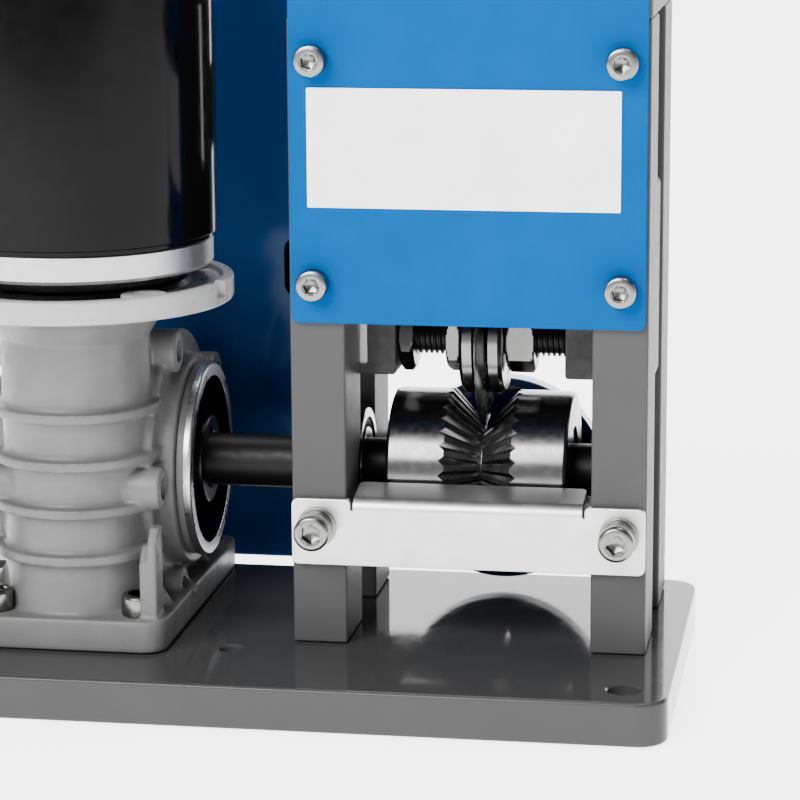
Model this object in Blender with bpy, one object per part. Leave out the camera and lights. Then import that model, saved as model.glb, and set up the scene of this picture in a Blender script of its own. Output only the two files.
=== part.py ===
"""Bench wire stripping machine: a toothed feed roller on a worm gear motor, a free disc blade on a
lifting carriage above it, a turret of guide holes behind and a wire rest in front.

X runs along the roller, +Y is the depth away from the operator, Z is up.  The origin is on the
underside of the base plate, below the middle of the frame and the front faces of its posts."""

import math

import bmesh
import bpy
from mathutils import Matrix, Vector

MM = 0.001

# clearances shared by all pieces
SEAT = 0.3 * MM
OVERRUN = 3.0 * MM

# base plate, its margins round what stands on it
BASE_THICKNESS = 12.0 * MM
BASE_FRONT_REACH = 42.0 * MM
BASE_BACK_MARGIN = 9.0 * MM
BASE_RIGHT_MARGIN = 9.0 * MM
BASE_LEFT_MARGIN = 16.0 * MM
BASE_CORNER = 8.0 * MM
BASE_EDGE = 1.0 * MM
BENCH_HOLE_RADIUS = 4.5 * MM
BENCH_HOLE_INSET = 12.0 * MM
CABLE_HOLE_RADIUS = 3.3 * MM
CABLE_HOLE_FROM_POST = 16.1 * MM
CABLE_HOLE_DEPTH = -7.9 * MM

# frame of four square bars under a top plate
POST_WIDTH = 15.0 * MM
POST_DEPTH = 24.0 * MM
POST_EDGE = 0.7 * MM
SLOT_WIDTH = 23.0 * MM
ROLLER_SPACE = 67.0 * MM
FRAME_HEIGHT = 172.0 * MM
TOP_PLATE_THICKNESS = 12.0 * MM
TOP_PLATE_CORNER = 3.0 * MM
TOP_BOLT_HEAD_RADIUS = 6.5 * MM
TOP_BOLT_HEAD_HEIGHT = 8.0 * MM
TOP_BOLT_SHANK_RADIUS = 4.0 * MM
TOP_BOLT_GRIP = 14.0 * MM
HEAD_CHAMFER = 0.6 * MM

# drive shaft, its bearings and the toothed roller
SHAFT_HEIGHT = 43.0 * MM
SHAFT_RADIUS = 7.5 * MM
SHAFT_END_PLAY = 3.0 * MM
SHAFT_CHAMFER = 0.8 * MM
BEARING_RADIUS = 16.0 * MM
BEARING_WIDTH = 9.0 * MM
BEARING_RING_WALL = 3.0 * MM
BEARING_SHIELD_DEPTH = 0.8 * MM
ROLLER_RADIUS = 22.2 * MM
ROLLER_LENGTH = 50.4 * MM
ROLLER_CHAMFER = 1.0 * MM
GROOVE_ROOT_RADIUS = 12.0 * MM
GROOVE_ROOT_WIDTH = 0.8 * MM
GROOVE_RIDGE_HALF_WIDTH = 9.2 * MM
TOOTH_DEPTH = 1.5 * MM
TOOTH_COUNT = 33
TOOTH_RISE_SHARE = 0.5
WIRE_LINE = 0.4 * MM

# disc blade, its flanges, nuts and threaded rod
BLADE_RADIUS = 25.0 * MM
BLADE_THICKNESS = 3.0 * MM
BLADE_EDGE_WIDTH = 0.3 * MM
BLADE_BEVEL_WIDTH = 8.0 * MM
BLADE_TIP_GAP = 0.4 * MM
FLANGE_RADIUS = 15.6 * MM
FLANGE_WIDTH = 4.2 * MM
FLANGE_CHAMFER = 0.8 * MM
ROD_RADIUS = 5.0 * MM
NUT_ACROSS_FLATS = 17.0 * MM
JAM_NUT_HEIGHT = 4.2 * MM
FULL_NUT_HEIGHT = 8.0 * MM
NUT_CHAMFER = 1.6 * MM

# carriage that slides between the posts
CARRIAGE_ARM_INNER = 23.6 * MM
CARRIAGE_ARM_DROP = 9.2 * MM
CARRIAGE_SIDE_INSET = 0.8 * MM
CARRIAGE_HEADROOM = 6.6 * MM
CARRIAGE_BAR_HEIGHT = 14.0 * MM
CARRIAGE_CORNER = 2.6 * MM
CARRIAGE_INNER_CORNER = 6.0 * MM
GUIDE_GROOVE_WIDTH = 1.9 * MM
GUIDE_GROOVE_DEPTH = 1.2 * MM
GUIDE_GROOVE_END = 2.6 * MM
ROD_SOCKET_DEPTH = 19.0 * MM

# lift screw and hand knob
SCREW_RADIUS = 6.0 * MM
SCREW_JOURNAL_RADIUS = 5.0 * MM
SCREW_SHOULDER_RADIUS = 9.5 * MM
SCREW_SHOULDER_HEIGHT = 4.0 * MM
SCREW_END_CHAMFER = 1.0 * MM
COLLAR_RADIUS = 8.0 * MM
COLLAR_HEIGHT = 4.4 * MM
KNOB_CLEARANCE = 5.0 * MM
KNOB_RADIUS = 24.0 * MM
KNOB_HEIGHT = 18.0 * MM
KNOB_HUB_RADIUS = 11.0 * MM
KNOB_HUB_HEIGHT = 8.0 * MM
KNOB_LOBES = 6
KNOB_LOBE_SHARE = 0.13
KNOB_EDGE = 3.0 * MM

# sheet cover over the blade
COVER_THICKNESS = 1.5 * MM
COVER_BOTTOM = 90.2 * MM
COVER_SIDE_INSET = 0.7 * MM
COVER_CORNER = 2.0 * MM
COVER_SCREW_FROM_EDGE = 10.9 * MM
COVER_SCREW_SIDE_INSET = 7.2 * MM
COVER_SCREW_HEAD_RADIUS = 4.25 * MM
COVER_SCREW_HEAD_HEIGHT = 5.0 * MM
COVER_SCREW_SHANK_RADIUS = 2.5 * MM
COVER_SCREW_GRIP = 9.0 * MM

# bent sheet bracket that the wire rests on
REST_THICKNESS = 2.0 * MM
REST_BOTTOM = 23.1 * MM
REST_EAR_TOP = 41.6 * MM
REST_BEND_START = 38.6 * MM
REST_BEND_RADIUS = 1.5 * MM
REST_BEND_ANGLE = math.radians(80.0)
REST_FLANGE_HALF_WIDTH = 31.4 * MM
REST_FLANGE_LENGTH = 10.2 * MM
REST_NOTCH_WIDTH = 1.8 * MM
REST_CORNER = 1.6 * MM
REST_SIDE_INSET = 0.2 * MM
REST_SCREW_HEIGHT = 33.9 * MM
REST_SCREW_HEAD_RADIUS = 4.9 * MM
REST_SCREW_HEAD_HEIGHT = 6.0 * MM
REST_SCREW_SHANK_RADIUS = 3.0 * MM
REST_SCREW_GRIP = 12.0 * MM
WASHER_RADIUS = 5.4 * MM
WASHER_THICKNESS = 1.2 * MM
SPRING_WASHER_RADIUS = 4.7 * MM
SPRING_WASHER_THICKNESS = 1.5 * MM

# turret of guide holes on a plate behind the rear posts
TURRET_RADIUS = 29.9 * MM
TURRET_THICKNESS = 9.0 * MM
TURRET_EDGE = 0.8 * MM
TURRET_HEIGHT = 33.2 * MM
TURRET_OFFSET = 1.1 * MM
GUIDE_CIRCLE = 19.4 * MM
GUIDE_HOLE_RADIUS = 4.4 * MM
GUIDE_HOLE_SHARES = (1.0, 0.30, 0.40, 0.50, 0.60, 0.70, 0.80, 0.90)
TURRET_BOLT_RADIUS = 4.0 * MM
TURRET_BOLT_HEAD_RADIUS = 6.5 * MM
TURRET_BOLT_HEAD_HEIGHT = 5.0 * MM
GUIDE_PLATE_THICKNESS = 3.0 * MM
GUIDE_PLATE_BOTTOM = 18.0 * MM
GUIDE_PLATE_TOP = 44.0 * MM
GUIDE_PLATE_CORNER = 3.0 * MM

# worm gear unit: output side, housing and input side
GEARBOX_FROM_POST = 30.5 * MM
WORM_OFFSET = 30.0 * MM
HUB_HALF_LENGTH = 31.0 * MM
HUB_RADIUS = 12.5 * MM
KEY_WIDTH = 5.0 * MM
KEY_HEIGHT = 5.0 * MM
KEY_SUNK = 3.0 * MM
KEY_HALF_LENGTH = 29.0 * MM
OUTPUT_RING_RADIUS = 27.7 * MM
OUTPUT_RING_WALL = 4.0 * MM
OUTPUT_RING_WIDTH = 4.5 * MM
OUTPUT_RING_CHAMFER = 0.7 * MM
SEAL_WIDTH = 3.2 * MM
SEAL_RECESS = 2.0 * MM
BOSS_RADIUS = 30.5 * MM
BOSS_HALF_WIDTH = 26.7 * MM
DRUM_RADIUS = 37.5 * MM
DRUM_HALF_WIDTH = 22.5 * MM
WORM_BARREL_RADIUS = 21.0 * MM
WORM_BARREL_FOOT = 16.0 * MM
BODY_HALF_WIDTH = 17.0 * MM
LUG_RADIUS = 6.2 * MM
LUG_HOLE_RADIUS = 3.3 * MM
LUG_HALF_WIDTH = 26.0 * MM
LUG_CIRCLE = 37.4 * MM
LUG_ANGLES = tuple(math.radians(a) for a in (114.0, 180.0, 246.0, 330.0, 30.0))
RIB_THICKNESS = 3.0 * MM
RIB_COUNT = 4
RIB_REACH = 24.0 * MM
FOOT_HEIGHT = 9.0 * MM
FOOT_HALF_WIDTH = 29.0 * MM
FOOT_FRONT_REACH = 54.0 * MM
FOOT_BACK_REACH = 44.0 * MM
FOOT_CORNER = 6.0 * MM
FOOT_BOLT_INSET = 8.5 * MM
FOOT_BOLT_HEAD_RADIUS = 5.0 * MM
FOOT_BOLT_HEAD_HEIGHT = 6.0 * MM
FOOT_BOLT_SHANK_RADIUS = 3.0 * MM
FOOT_BOLT_GRIP = 15.0 * MM
INPUT_FACE_HEIGHT = 94.0 * MM
INPUT_FLANGE_RADIUS = 44.0 * MM
INPUT_FLANGE_THICKNESS = 6.5 * MM
INPUT_FLANGE_EDGE = 0.8 * MM
INPUT_HOLE_CIRCLE = 37.5 * MM
INPUT_HOLE_RADIUS = 3.5 * MM

# motor standing on the input flange
MOTOR_RADIUS = 40.0 * MM
MOTOR_LENGTH = 109.7 * MM
MOTOR_NECK_RADIUS = 30.0 * MM
MOTOR_NECK_HEIGHT = 3.1 * MM
MOTOR_BELL_RADIUS = 38.6 * MM
MOTOR_BELL_HEIGHT = 7.4 * MM
MOTOR_EDGE = 1.0 * MM
MOTOR_DOME_EDGE = 7.0 * MM

# electrics housing behind the gear unit, with its brackets, window and switch
HOUSING_GAP = 13.0 * MM
HOUSING_DEPTH = 30.0 * MM
HOUSING_LIFT = 1.2 * MM
HOUSING_LEFT_REACH = 152.0 * MM
HOUSING_POST_GAP = 2.0 * MM
HOUSING_CORNER = 5.0 * MM
HOUSING_EDGE = 1.2 * MM
HOUSING_WALL = 1.8 * MM
LID_THICKNESS = 1.5 * MM
WINDOW_MARGIN = 6.5 * MM
WINDOW_WIDTH = 10.0 * MM
WINDOW_BOTTOM = 82.0 * MM
WINDOW_HEIGHT = 17.5 * MM
WINDOW_CORNER = 3.5 * MM
BRACKET_THICKNESS = 3.0 * MM
BRACKET_HEIGHT = 24.0 * MM
BRACKET_GRIP = 18.0 * MM
BRACKET_REACH = 14.0 * MM
BRACKET_CORNER = 4.0 * MM
LOW_BRACKET_BOTTOM = 30.0 * MM
HIGH_BRACKET_FROM_TOP = 20.0 * MM
SWITCH_FROM_TOP = 22.0 * MM
SWITCH_LENGTH = 28.0 * MM
SWITCH_WIDTH = 18.0 * MM
SWITCH_RIM = 2.0 * MM
SWITCH_FRAME_PROUD = 2.0 * MM
SWITCH_FRAME_DEPTH = 9.0 * MM
ROCKER_SWING = math.radians(9.0)
ROCKER_PROUD = 2.4 * MM

# counts of facets
ROUND_STEPS = 26
LARGE_STEPS = 32
SMALL_STEPS = 10
HOLE_STEPS = 12
BARREL_STEPS = 22
BORE_STEPS = 23
POCKET_STEPS = 29
ARC_STEPS = 3
SHARP_ANGLE = math.radians(32.0)

# places worked out from the sizes above
POST_INNER = ROLLER_SPACE / 2
POST_OUTER = POST_INNER + POST_WIDTH
POST_MIDDLE = POST_INNER + POST_WIDTH / 2
SLOT_FRONT = POST_DEPTH
SLOT_BACK = POST_DEPTH + SLOT_WIDTH
FRAME_DEPTH = SLOT_BACK + POST_DEPTH
AXIS_Y = (SLOT_FRONT + SLOT_BACK) / 2
BASE_TOP = BASE_THICKNESS
POST_BOTTOM = BASE_TOP + SEAT
FRAME_TOP = BASE_TOP + FRAME_HEIGHT
SHAFT_Z = BASE_TOP + SHAFT_HEIGHT
ROD_Z = SHAFT_Z + GROOVE_ROOT_RADIUS + BLADE_TIP_GAP + BLADE_RADIUS
GEARBOX_X = -(POST_OUTER + GEARBOX_FROM_POST + HUB_HALF_LENGTH)
WORM_Y = AXIS_Y - WORM_OFFSET
HOUSING_FRONT = FRAME_DEPTH + HOUSING_GAP
BASE_LEFT = GEARBOX_X - MOTOR_RADIUS - BASE_LEFT_MARGIN
BASE_RIGHT = POST_OUTER + BASE_RIGHT_MARGIN
BASE_FRONT = -BASE_FRONT_REACH
BASE_BACK = FRAME_DEPTH + BASE_BACK_MARGIN
ARM_BOTTOM = ROD_Z - CARRIAGE_ARM_DROP
BAR_BOTTOM = ROD_Z + BLADE_RADIUS + CARRIAGE_HEADROOM
BAR_TOP = BAR_BOTTOM + CARRIAGE_BAR_HEIGHT
PLATE_BOTTOM = FRAME_TOP + SEAT
PLATE_TOP = PLATE_BOTTOM + TOP_PLATE_THICKNESS

AXES = {
    "X": Matrix.Rotation(math.pi / 2, 4, "Y"),
    "Y": Matrix.Rotation(-math.pi / 2, 4, "X"),
    "Z": Matrix.Identity(4),
}
SPREAD = {"X": lambda u, v, a: (a, u, v), "Y": lambda u, v, a: (u, a, v), "Z": lambda u, v, a: (u, v, a)}


def material(name, colour, roughness, metallic):
    made = bpy.data.materials.new(name)
    made.use_nodes = True
    shader = made.node_tree.nodes["Principled BSDF"]
    shader.inputs["Base Color"].default_value = (*colour, 1.0)
    shader.inputs["Roughness"].default_value = roughness
    shader.inputs["Metallic"].default_value = metallic
    return made


def place_mesh(name, bm, made, place=(0.0, 0.0, 0.0)):
    """Turns a bmesh, drawn in world places, into an object whose origin is at place."""
    bmesh.ops.translate(bm, verts=bm.verts, vec=-Vector(place))
    bmesh.ops.recalc_face_normals(bm, faces=bm.faces)
    mesh = bpy.data.meshes.new(name)
    bm.to_mesh(mesh)
    bm.free()
    mesh.materials.append(made)
    mesh.shade_smooth()
    mesh.set_sharp_from_angle(angle=SHARP_ANGLE)
    obj = bpy.data.objects.new(name, mesh)
    obj.location = place
    bpy.context.collection.objects.link(obj)
    return obj


def turn(bm, profile, axis, centre, steps):
    """Adds to bm a closed (radius, along) profile, spun about an axis through centre."""
    piece = bmesh.new()
    verts = [piece.verts.new((radius, 0.0, along)) for radius, along in profile]
    pairs = [(verts[i - 1], verts[i]) for i in range(len(verts)) if profile[i - 1][0] or profile[i][0]]
    edges = [piece.edges.new(pair) for pair in pairs]
    bmesh.ops.spin(
        piece, geom=verts + edges, cent=(0.0, 0.0, 0.0), axis=(0.0, 0.0, 1.0),
        angle=2 * math.pi, steps=steps, use_merge=True,
    )
    on_axis = [v for v in piece.verts if math.hypot(v.co.x, v.co.y) < SEAT * SEAT]
    bmesh.ops.remove_doubles(piece, verts=on_axis, dist=SEAT * SEAT)
    bmesh.ops.transform(piece, matrix=Matrix.Translation(centre) @ AXES[axis], verts=piece.verts)
    store = bpy.data.meshes.new("turned")
    piece.to_mesh(store)
    piece.free()
    bm.from_mesh(store)
    bpy.data.meshes.remove(store)
    return bm


def turned(name, made, profile, axis, centre, steps=ROUND_STEPS):
    bm = turn(bmesh.new(), profile, axis, Vector(centre), steps)
    return place_mesh(name, bm, made, centre)


def disc_profile(radius, start, end, chamfer=0.0, bore=0.0):
    """Half section of a plain or bored disc with a chamfer on both outer rims."""
    if chamfer:
        flat = radius - chamfer
        rim = [(flat, start), (radius, start + chamfer), (radius, end - chamfer), (flat, end)]
    else:
        rim = [(radius, start), (radius, end)]
    return [(bore, start)] + rim + [(bore, end)]


def prism(bm, outline, axis, start, end):
    """Extrudes a closed outline, given across the axis, from start to end along it."""
    spread = SPREAD[axis]
    face = bm.faces.new([bm.verts.new(spread(u, v, start)) for u, v in outline])
    raised = bmesh.ops.extrude_face_region(bm, geom=[face], use_keep_orig=True)["geom"]
    moved = [g for g in raised if isinstance(g, bmesh.types.BMVert)]
    bmesh.ops.translate(bm, verts=moved, vec=spread(0.0, 0.0, end - start))
    return bm


def extruded(name, made, outline, axis, start, end, place=(0.0, 0.0, 0.0)):
    return place_mesh(name, prism(bmesh.new(), outline, axis, start, end), made, place)


def fillet(corners, steps=ARC_STEPS):
    """An outline from (u, v, radius) corners, each rounded with an arc of that radius."""
    outline = []
    count = len(corners)
    for i, (u, v, radius) in enumerate(corners):
        here = Vector((u, v))
        if not radius:
            outline.append((u, v))
            continue
        before = (Vector(corners[i - 1][:2]) - here).normalized()
        after = (Vector(corners[(i + 1) % count][:2]) - here).normalized()
        half = before.angle(after) / 2
        reach = radius / math.tan(half)
        middle = here + (before + after).normalized() * radius / math.sin(half)
        first = here + before * reach - middle
        last = here + after * reach - middle
        sweep = first.angle_signed(last)
        for k in range(steps + 1):
            spoke = first.copy()
            spoke.rotate(Matrix.Rotation(-sweep * k / steps, 2))
            outline.append(tuple(middle + spoke))
    return outline


def box_corners(left, right, low, high, radius=0.0):
    return [(left, low, radius), (right, low, radius), (right, high, radius), (left, high, radius)]


def ring_points(radius, count, start=0.0):
    return [(radius * math.sin(start + 2 * math.pi * k / count),
             radius * math.cos(start + 2 * math.pi * k / count))
            for k in range(count)]


def hide_tool(tool):
    tool.hide_render = True
    tool.display_type = "WIRE"
    return tool


def combine(target, tool, operation):
    """A live exact Boolean; the tool is left in place as a hidden wire shape."""
    modifier = target.modifiers.new(tool.name, "BOOLEAN")
    modifier.operation = operation
    modifier.solver = "EXACT"
    modifier.object = hide_tool(tool)
    return modifier


def drill(target, name, axis, start, end, holes, steps=HOLE_STEPS):
    """Cuts round holes, given as (u, v, radius) across the axis."""
    bm = bmesh.new()
    for u, v, radius in holes:
        turn(bm, disc_profile(radius, start, end), axis, Vector(SPREAD[axis](u, v, 0.0)), steps)
    tool = place_mesh(name, bm, STEEL)
    combine(target, tool, "DIFFERENCE")
    return tool


def soften(target, width, segments=1):
    modifier = target.modifiers.new("edges", "BEVEL")
    modifier.width = width
    modifier.segments = segments
    modifier.limit_method = "ANGLE"
    modifier.angle_limit = SHARP_ANGLE
    modifier.use_clamp_overlap = True
    return modifier


def cap_screw(name, head_radius, head_height, shank_radius, grip, axis, seat, way=1.0):
    """Socket cap screw: the head's under face is at seat and the shank runs along way times the axis."""
    profile = [
        (0.0, -way * head_height), (head_radius - HEAD_CHAMFER, -way * head_height),
        (head_radius, way * (HEAD_CHAMFER - head_height)), (head_radius, 0.0),
        (shank_radius, 0.0), (shank_radius, way * grip), (0.0, way * grip),
    ]
    return turned(name, ZINC, profile, axis, seat, SMALL_STEPS)


def hex_nut(name, across, height, bore, centre):
    """Hexagon nut along X with both faces chamfered by a turned cone."""
    corner = across / math.cos(math.pi / 6) / 2
    points = [(centre[1] + u, centre[2] + v) for u, v in ring_points(corner, 6)]
    nut = extruded(name, ZINC, points, "X", centre[0], centre[0] + height, centre)
    face = corner - NUT_CHAMFER
    rim = corner + SEAT
    drop = (rim - face) * math.tan(math.pi / 6)
    keep = [(0.0, 0.0), (face, 0.0), (rim, drop), (rim, height - drop), (face, height), (0.0, height)]
    combine(nut, turned(name + "_cone", ZINC, keep, "X", centre, HOLE_STEPS), "INTERSECT")
    place = [(centre[1], centre[2], bore)]
    drill(nut, name + "_bore", "X", centre[0] - OVERRUN, centre[0] + height + OVERRUN, place)
    return nut


# plain materials, close to the photographed finishes
STEEL = material("steel", (0.55, 0.55, 0.54), 0.35, 1.0)
GREY_PAINT = material("grey_paint", (0.22, 0.22, 0.22), 0.45, 0.0)
BASE_PAINT = material("base_paint", (0.30, 0.30, 0.31), 0.18, 0.0)
DARK_STEEL = material("dark_steel", (0.08, 0.08, 0.085), 0.40, 0.6)
BLACK = material("black", (0.012, 0.012, 0.012), 0.30, 0.2)
ZINC = material("zinc", (0.62, 0.62, 0.60), 0.32, 1.0)
BLUE = material("blue_paint", (0.0, 0.27, 0.70), 0.30, 0.0)
CAST = material("cast_grey", (0.42, 0.42, 0.42), 0.50, 0.0)
SILVER = material("silver", (0.66, 0.66, 0.65), 0.38, 0.8)
RUBBER = material("rubber", (0.015, 0.015, 0.015), 0.70, 0.0)


def build_base():
    outline = fillet(box_corners(BASE_LEFT, BASE_RIGHT, BASE_FRONT, BASE_BACK, BASE_CORNER))
    base = extruded("base_plate", BASE_PAINT, outline, "Z", 0.0, BASE_TOP)
    soften(base, BASE_EDGE)
    holes = [
        (x, y, BENCH_HOLE_RADIUS)
        for x in (BASE_LEFT + BENCH_HOLE_INSET, BASE_RIGHT - BENCH_HOLE_INSET)
        for y in (BASE_FRONT + BENCH_HOLE_INSET, BASE_BACK - BENCH_HOLE_INSET)
        if y < 0.0 or x < 0.0
    ]
    holes.append((-(POST_OUTER + CABLE_HOLE_FROM_POST), CABLE_HOLE_DEPTH, CABLE_HOLE_RADIUS))
    drill(base, "base_holes", "Z", -OVERRUN, BASE_TOP + OVERRUN, holes)
    foot_holes = [(x, y, FOOT_BOLT_SHANK_RADIUS + SEAT) for x, y in foot_bolt_places()]
    hole_end = BASE_TOP + FOOT_HEIGHT - FOOT_BOLT_GRIP - SEAT
    drill(base, "base_foot_holes", "Z", hole_end, BASE_TOP + OVERRUN, foot_holes, SMALL_STEPS)


def foot_bolt_places():
    front = AXIS_Y - FOOT_FRONT_REACH + FOOT_BOLT_INSET
    back = AXIS_Y + FOOT_BACK_REACH - FOOT_BOLT_INSET
    side = FOOT_HALF_WIDTH - FOOT_BOLT_INSET
    return [(GEARBOX_X + way * side, y) for way in (-1, 1) for y in (front, back)]


def build_posts():
    for side, way in (("left", -1), ("right", 1)):
        left, right = sorted((way * POST_INNER, way * POST_OUTER))
        pocket_end = way * (POST_INNER + BEARING_WIDTH + SEAT)
        start, end = sorted((way * (POST_INNER - OVERRUN), pocket_end))
        for row, front in (("front", 0.0), ("rear", SLOT_BACK)):
            name = f"{row}_post_{side}"
            outline = fillet(box_corners(left, right, front, front + POST_DEPTH, POST_EDGE), 1)
            post = extruded(name, GREY_PAINT, outline, "Z", POST_BOTTOM, FRAME_TOP)
            pocket = [(AXIS_Y, SHAFT_Z, BEARING_RADIUS + SEAT)]
            drill(post, name + "_bearing", "X", start, end, pocket, LARGE_STEPS)
            middle = way * POST_MIDDLE
            top_hole = [(middle, front + POST_DEPTH / 2, TOP_BOLT_SHANK_RADIUS + SEAT)]
            hole_end = PLATE_TOP - TOP_BOLT_HEAD_HEIGHT - TOP_BOLT_GRIP - SEAT
            drill(post, name + "_top", "Z", hole_end, FRAME_TOP + OVERRUN, top_hole)
            if row == "front":
                screw_x = way * cover_screw_x()
                holes = [(screw_x, z, COVER_SCREW_SHANK_RADIUS + SEAT) for z in cover_screw_heights()]
                drill(post, name + "_cover", "Y", -OVERRUN, COVER_SCREW_GRIP + SEAT, holes)
                rest = [(screw_x, BASE_TOP + REST_SCREW_HEIGHT, REST_SCREW_SHANK_RADIUS + SEAT)]
                drill(post, name + "_rest", "Y", -OVERRUN, REST_SCREW_GRIP + SEAT, rest)
            else:
                rest = [(middle, guide_plate_middle(), REST_SCREW_SHANK_RADIUS + SEAT)]
                hole_end = FRAME_DEPTH - REST_SCREW_GRIP - SEAT
                drill(post, name + "_guide", "Y", hole_end, FRAME_DEPTH + OVERRUN, rest)


def guide_plate_middle():
    return BASE_TOP + (GUIDE_PLATE_BOTTOM + GUIDE_PLATE_TOP) / 2


def cover_screw_x():
    return POST_OUTER - COVER_SCREW_SIDE_INSET


def cover_screw_heights():
    return BASE_TOP + COVER_BOTTOM + COVER_SCREW_FROM_EDGE, FRAME_TOP - COVER_SCREW_FROM_EDGE


def build_top_plate():
    outline = fillet(box_corners(-POST_OUTER, POST_OUTER, 0.0, FRAME_DEPTH, TOP_PLATE_CORNER))
    plate = extruded("top_plate", GREY_PAINT, outline, "Z", PLATE_BOTTOM, PLATE_TOP)
    soften(plate, POST_EDGE)
    thread = [(0.0, AXIS_Y, SCREW_RADIUS + SEAT)]
    drill(plate, "top_plate_thread", "Z", PLATE_BOTTOM - OVERRUN, PLATE_TOP + OVERRUN, thread)
    spots = [(way * POST_MIDDLE, y + POST_DEPTH / 2) for way in (-1, 1) for y in (0.0, SLOT_BACK)]
    seat_z = PLATE_TOP - TOP_BOLT_HEAD_HEIGHT
    sinks = [(x, y, TOP_BOLT_HEAD_RADIUS + SEAT) for x, y in spots]
    shanks = [(x, y, TOP_BOLT_SHANK_RADIUS + SEAT) for x, y in spots]
    drill(plate, "top_plate_sinks", "Z", seat_z - SEAT, PLATE_TOP + OVERRUN, sinks, SMALL_STEPS)
    drill(plate, "top_plate_holes", "Z", PLATE_BOTTOM - OVERRUN, seat_z, shanks, SMALL_STEPS)
    for number, (x, y) in enumerate(spots, 1):
        cap_screw(f"top_bolt_{number}", TOP_BOLT_HEAD_RADIUS, TOP_BOLT_HEAD_HEIGHT, TOP_BOLT_SHANK_RADIUS,
                  TOP_BOLT_GRIP, "Z", (x, y, seat_z), -1.0)


def build_cover():
    half = POST_OUTER - COVER_SIDE_INSET
    outline = fillet(box_corners(-half, half, BASE_TOP + COVER_BOTTOM, PLATE_TOP, COVER_CORNER))
    cover = extruded("front_cover", BLUE, outline, "Y", -SEAT - COVER_THICKNESS, -SEAT)
    spots = [(way * cover_screw_x(), z) for z in cover_screw_heights() for way in (-1, 1)]
    holes = [(x, z, COVER_SCREW_SHANK_RADIUS + SEAT) for x, z in spots]
    drill(cover, "front_cover_holes", "Y", -SEAT - COVER_THICKNESS - OVERRUN, OVERRUN, holes)
    for number, (x, z) in enumerate(spots, 1):
        cap_screw(f"cover_screw_{number}", COVER_SCREW_HEAD_RADIUS, COVER_SCREW_HEAD_HEIGHT, COVER_SCREW_SHANK_RADIUS,
                  COVER_SCREW_GRIP, "Y", (x, -COVER_THICKNESS - 2 * SEAT, z))


def build_wire_rest():
    """A flat blank with relief notches, cut across the bend and then folded back over the bend radius."""
    half = POST_OUTER - REST_SIDE_INSET
    bend_start = BASE_TOP + REST_BEND_START
    neutral = REST_BEND_RADIUS + REST_THICKNESS / 2
    arc = neutral * REST_BEND_ANGLE
    top = bend_start + arc + REST_FLANGE_LENGTH
    inner = REST_FLANGE_HALF_WIDTH
    outer = inner + REST_NOTCH_WIDTH
    ear = BASE_TOP + REST_EAR_TOP
    right = [(half, BASE_TOP + REST_BOTTOM, REST_CORNER), (half, ear, REST_CORNER), (outer, ear, 0.0),
             (outer, bend_start, 0.0), (inner, bend_start, 0.0), (inner, top, REST_CORNER)]
    corners = right + [(-u, v, radius) for u, v, radius in reversed(right)]
    front = -SEAT - REST_THICKNESS
    bm = prism(bmesh.new(), fillet(corners), "Y", front, -SEAT)
    cuts = 2 * ARC_STEPS
    for k in range(1, cuts + 1):
        geom = list(bm.verts) + list(bm.edges) + list(bm.faces)
        level = Vector((0.0, 0.0, bend_start + arc * k / cuts))
        bmesh.ops.bisect_plane(bm, geom=geom, dist=SEAT * SEAT, plane_co=level, plane_no=(0.0, 0.0, 1.0))
    pivot_y = -SEAT + REST_BEND_RADIUS
    for vert in bm.verts:
        along = vert.co.z - bend_start
        if along > 0.0 and abs(vert.co.x) < (inner + outer) / 2:
            angle = min(along, arc) / neutral
            radius = pivot_y - vert.co.y
            beyond = max(along - arc, 0.0)
            vert.co.y = pivot_y - radius * math.cos(angle) + beyond * math.sin(angle)
            vert.co.z = bend_start + radius * math.sin(angle) + beyond * math.cos(angle)
    rest = place_mesh("wire_rest_bracket", bm, ZINC)
    spots = [(way * cover_screw_x(), BASE_TOP + REST_SCREW_HEIGHT) for way in (-1, 1)]
    holes = [(x, z, REST_SCREW_SHANK_RADIUS + SEAT) for x, z in spots]
    drill(rest, "wire_rest_holes", "Y", front - OVERRUN, OVERRUN, holes)
    washer_back = front - SEAT
    stack = WASHER_THICKNESS + SPRING_WASHER_THICKNESS
    for side, (x, z) in zip(("left", "right"), spots):
        eye = REST_SCREW_SHANK_RADIUS + SEAT
        profile = [(eye, 0.0), (WASHER_RADIUS, 0.0), (WASHER_RADIUS, -WASHER_THICKNESS),
                   (SPRING_WASHER_RADIUS, -WASHER_THICKNESS), (SPRING_WASHER_RADIUS, -stack), (eye, -stack)]
        turned(f"bracket_washer_{side}", ZINC, profile, "Y", (x, washer_back, z), ROUND_STEPS // 2)
        cap_screw(f"bracket_screw_{side}", REST_SCREW_HEAD_RADIUS, REST_SCREW_HEAD_HEIGHT, REST_SCREW_SHANK_RADIUS,
                  REST_SCREW_GRIP, "Y", (x, washer_back - stack - SEAT, z))


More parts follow.
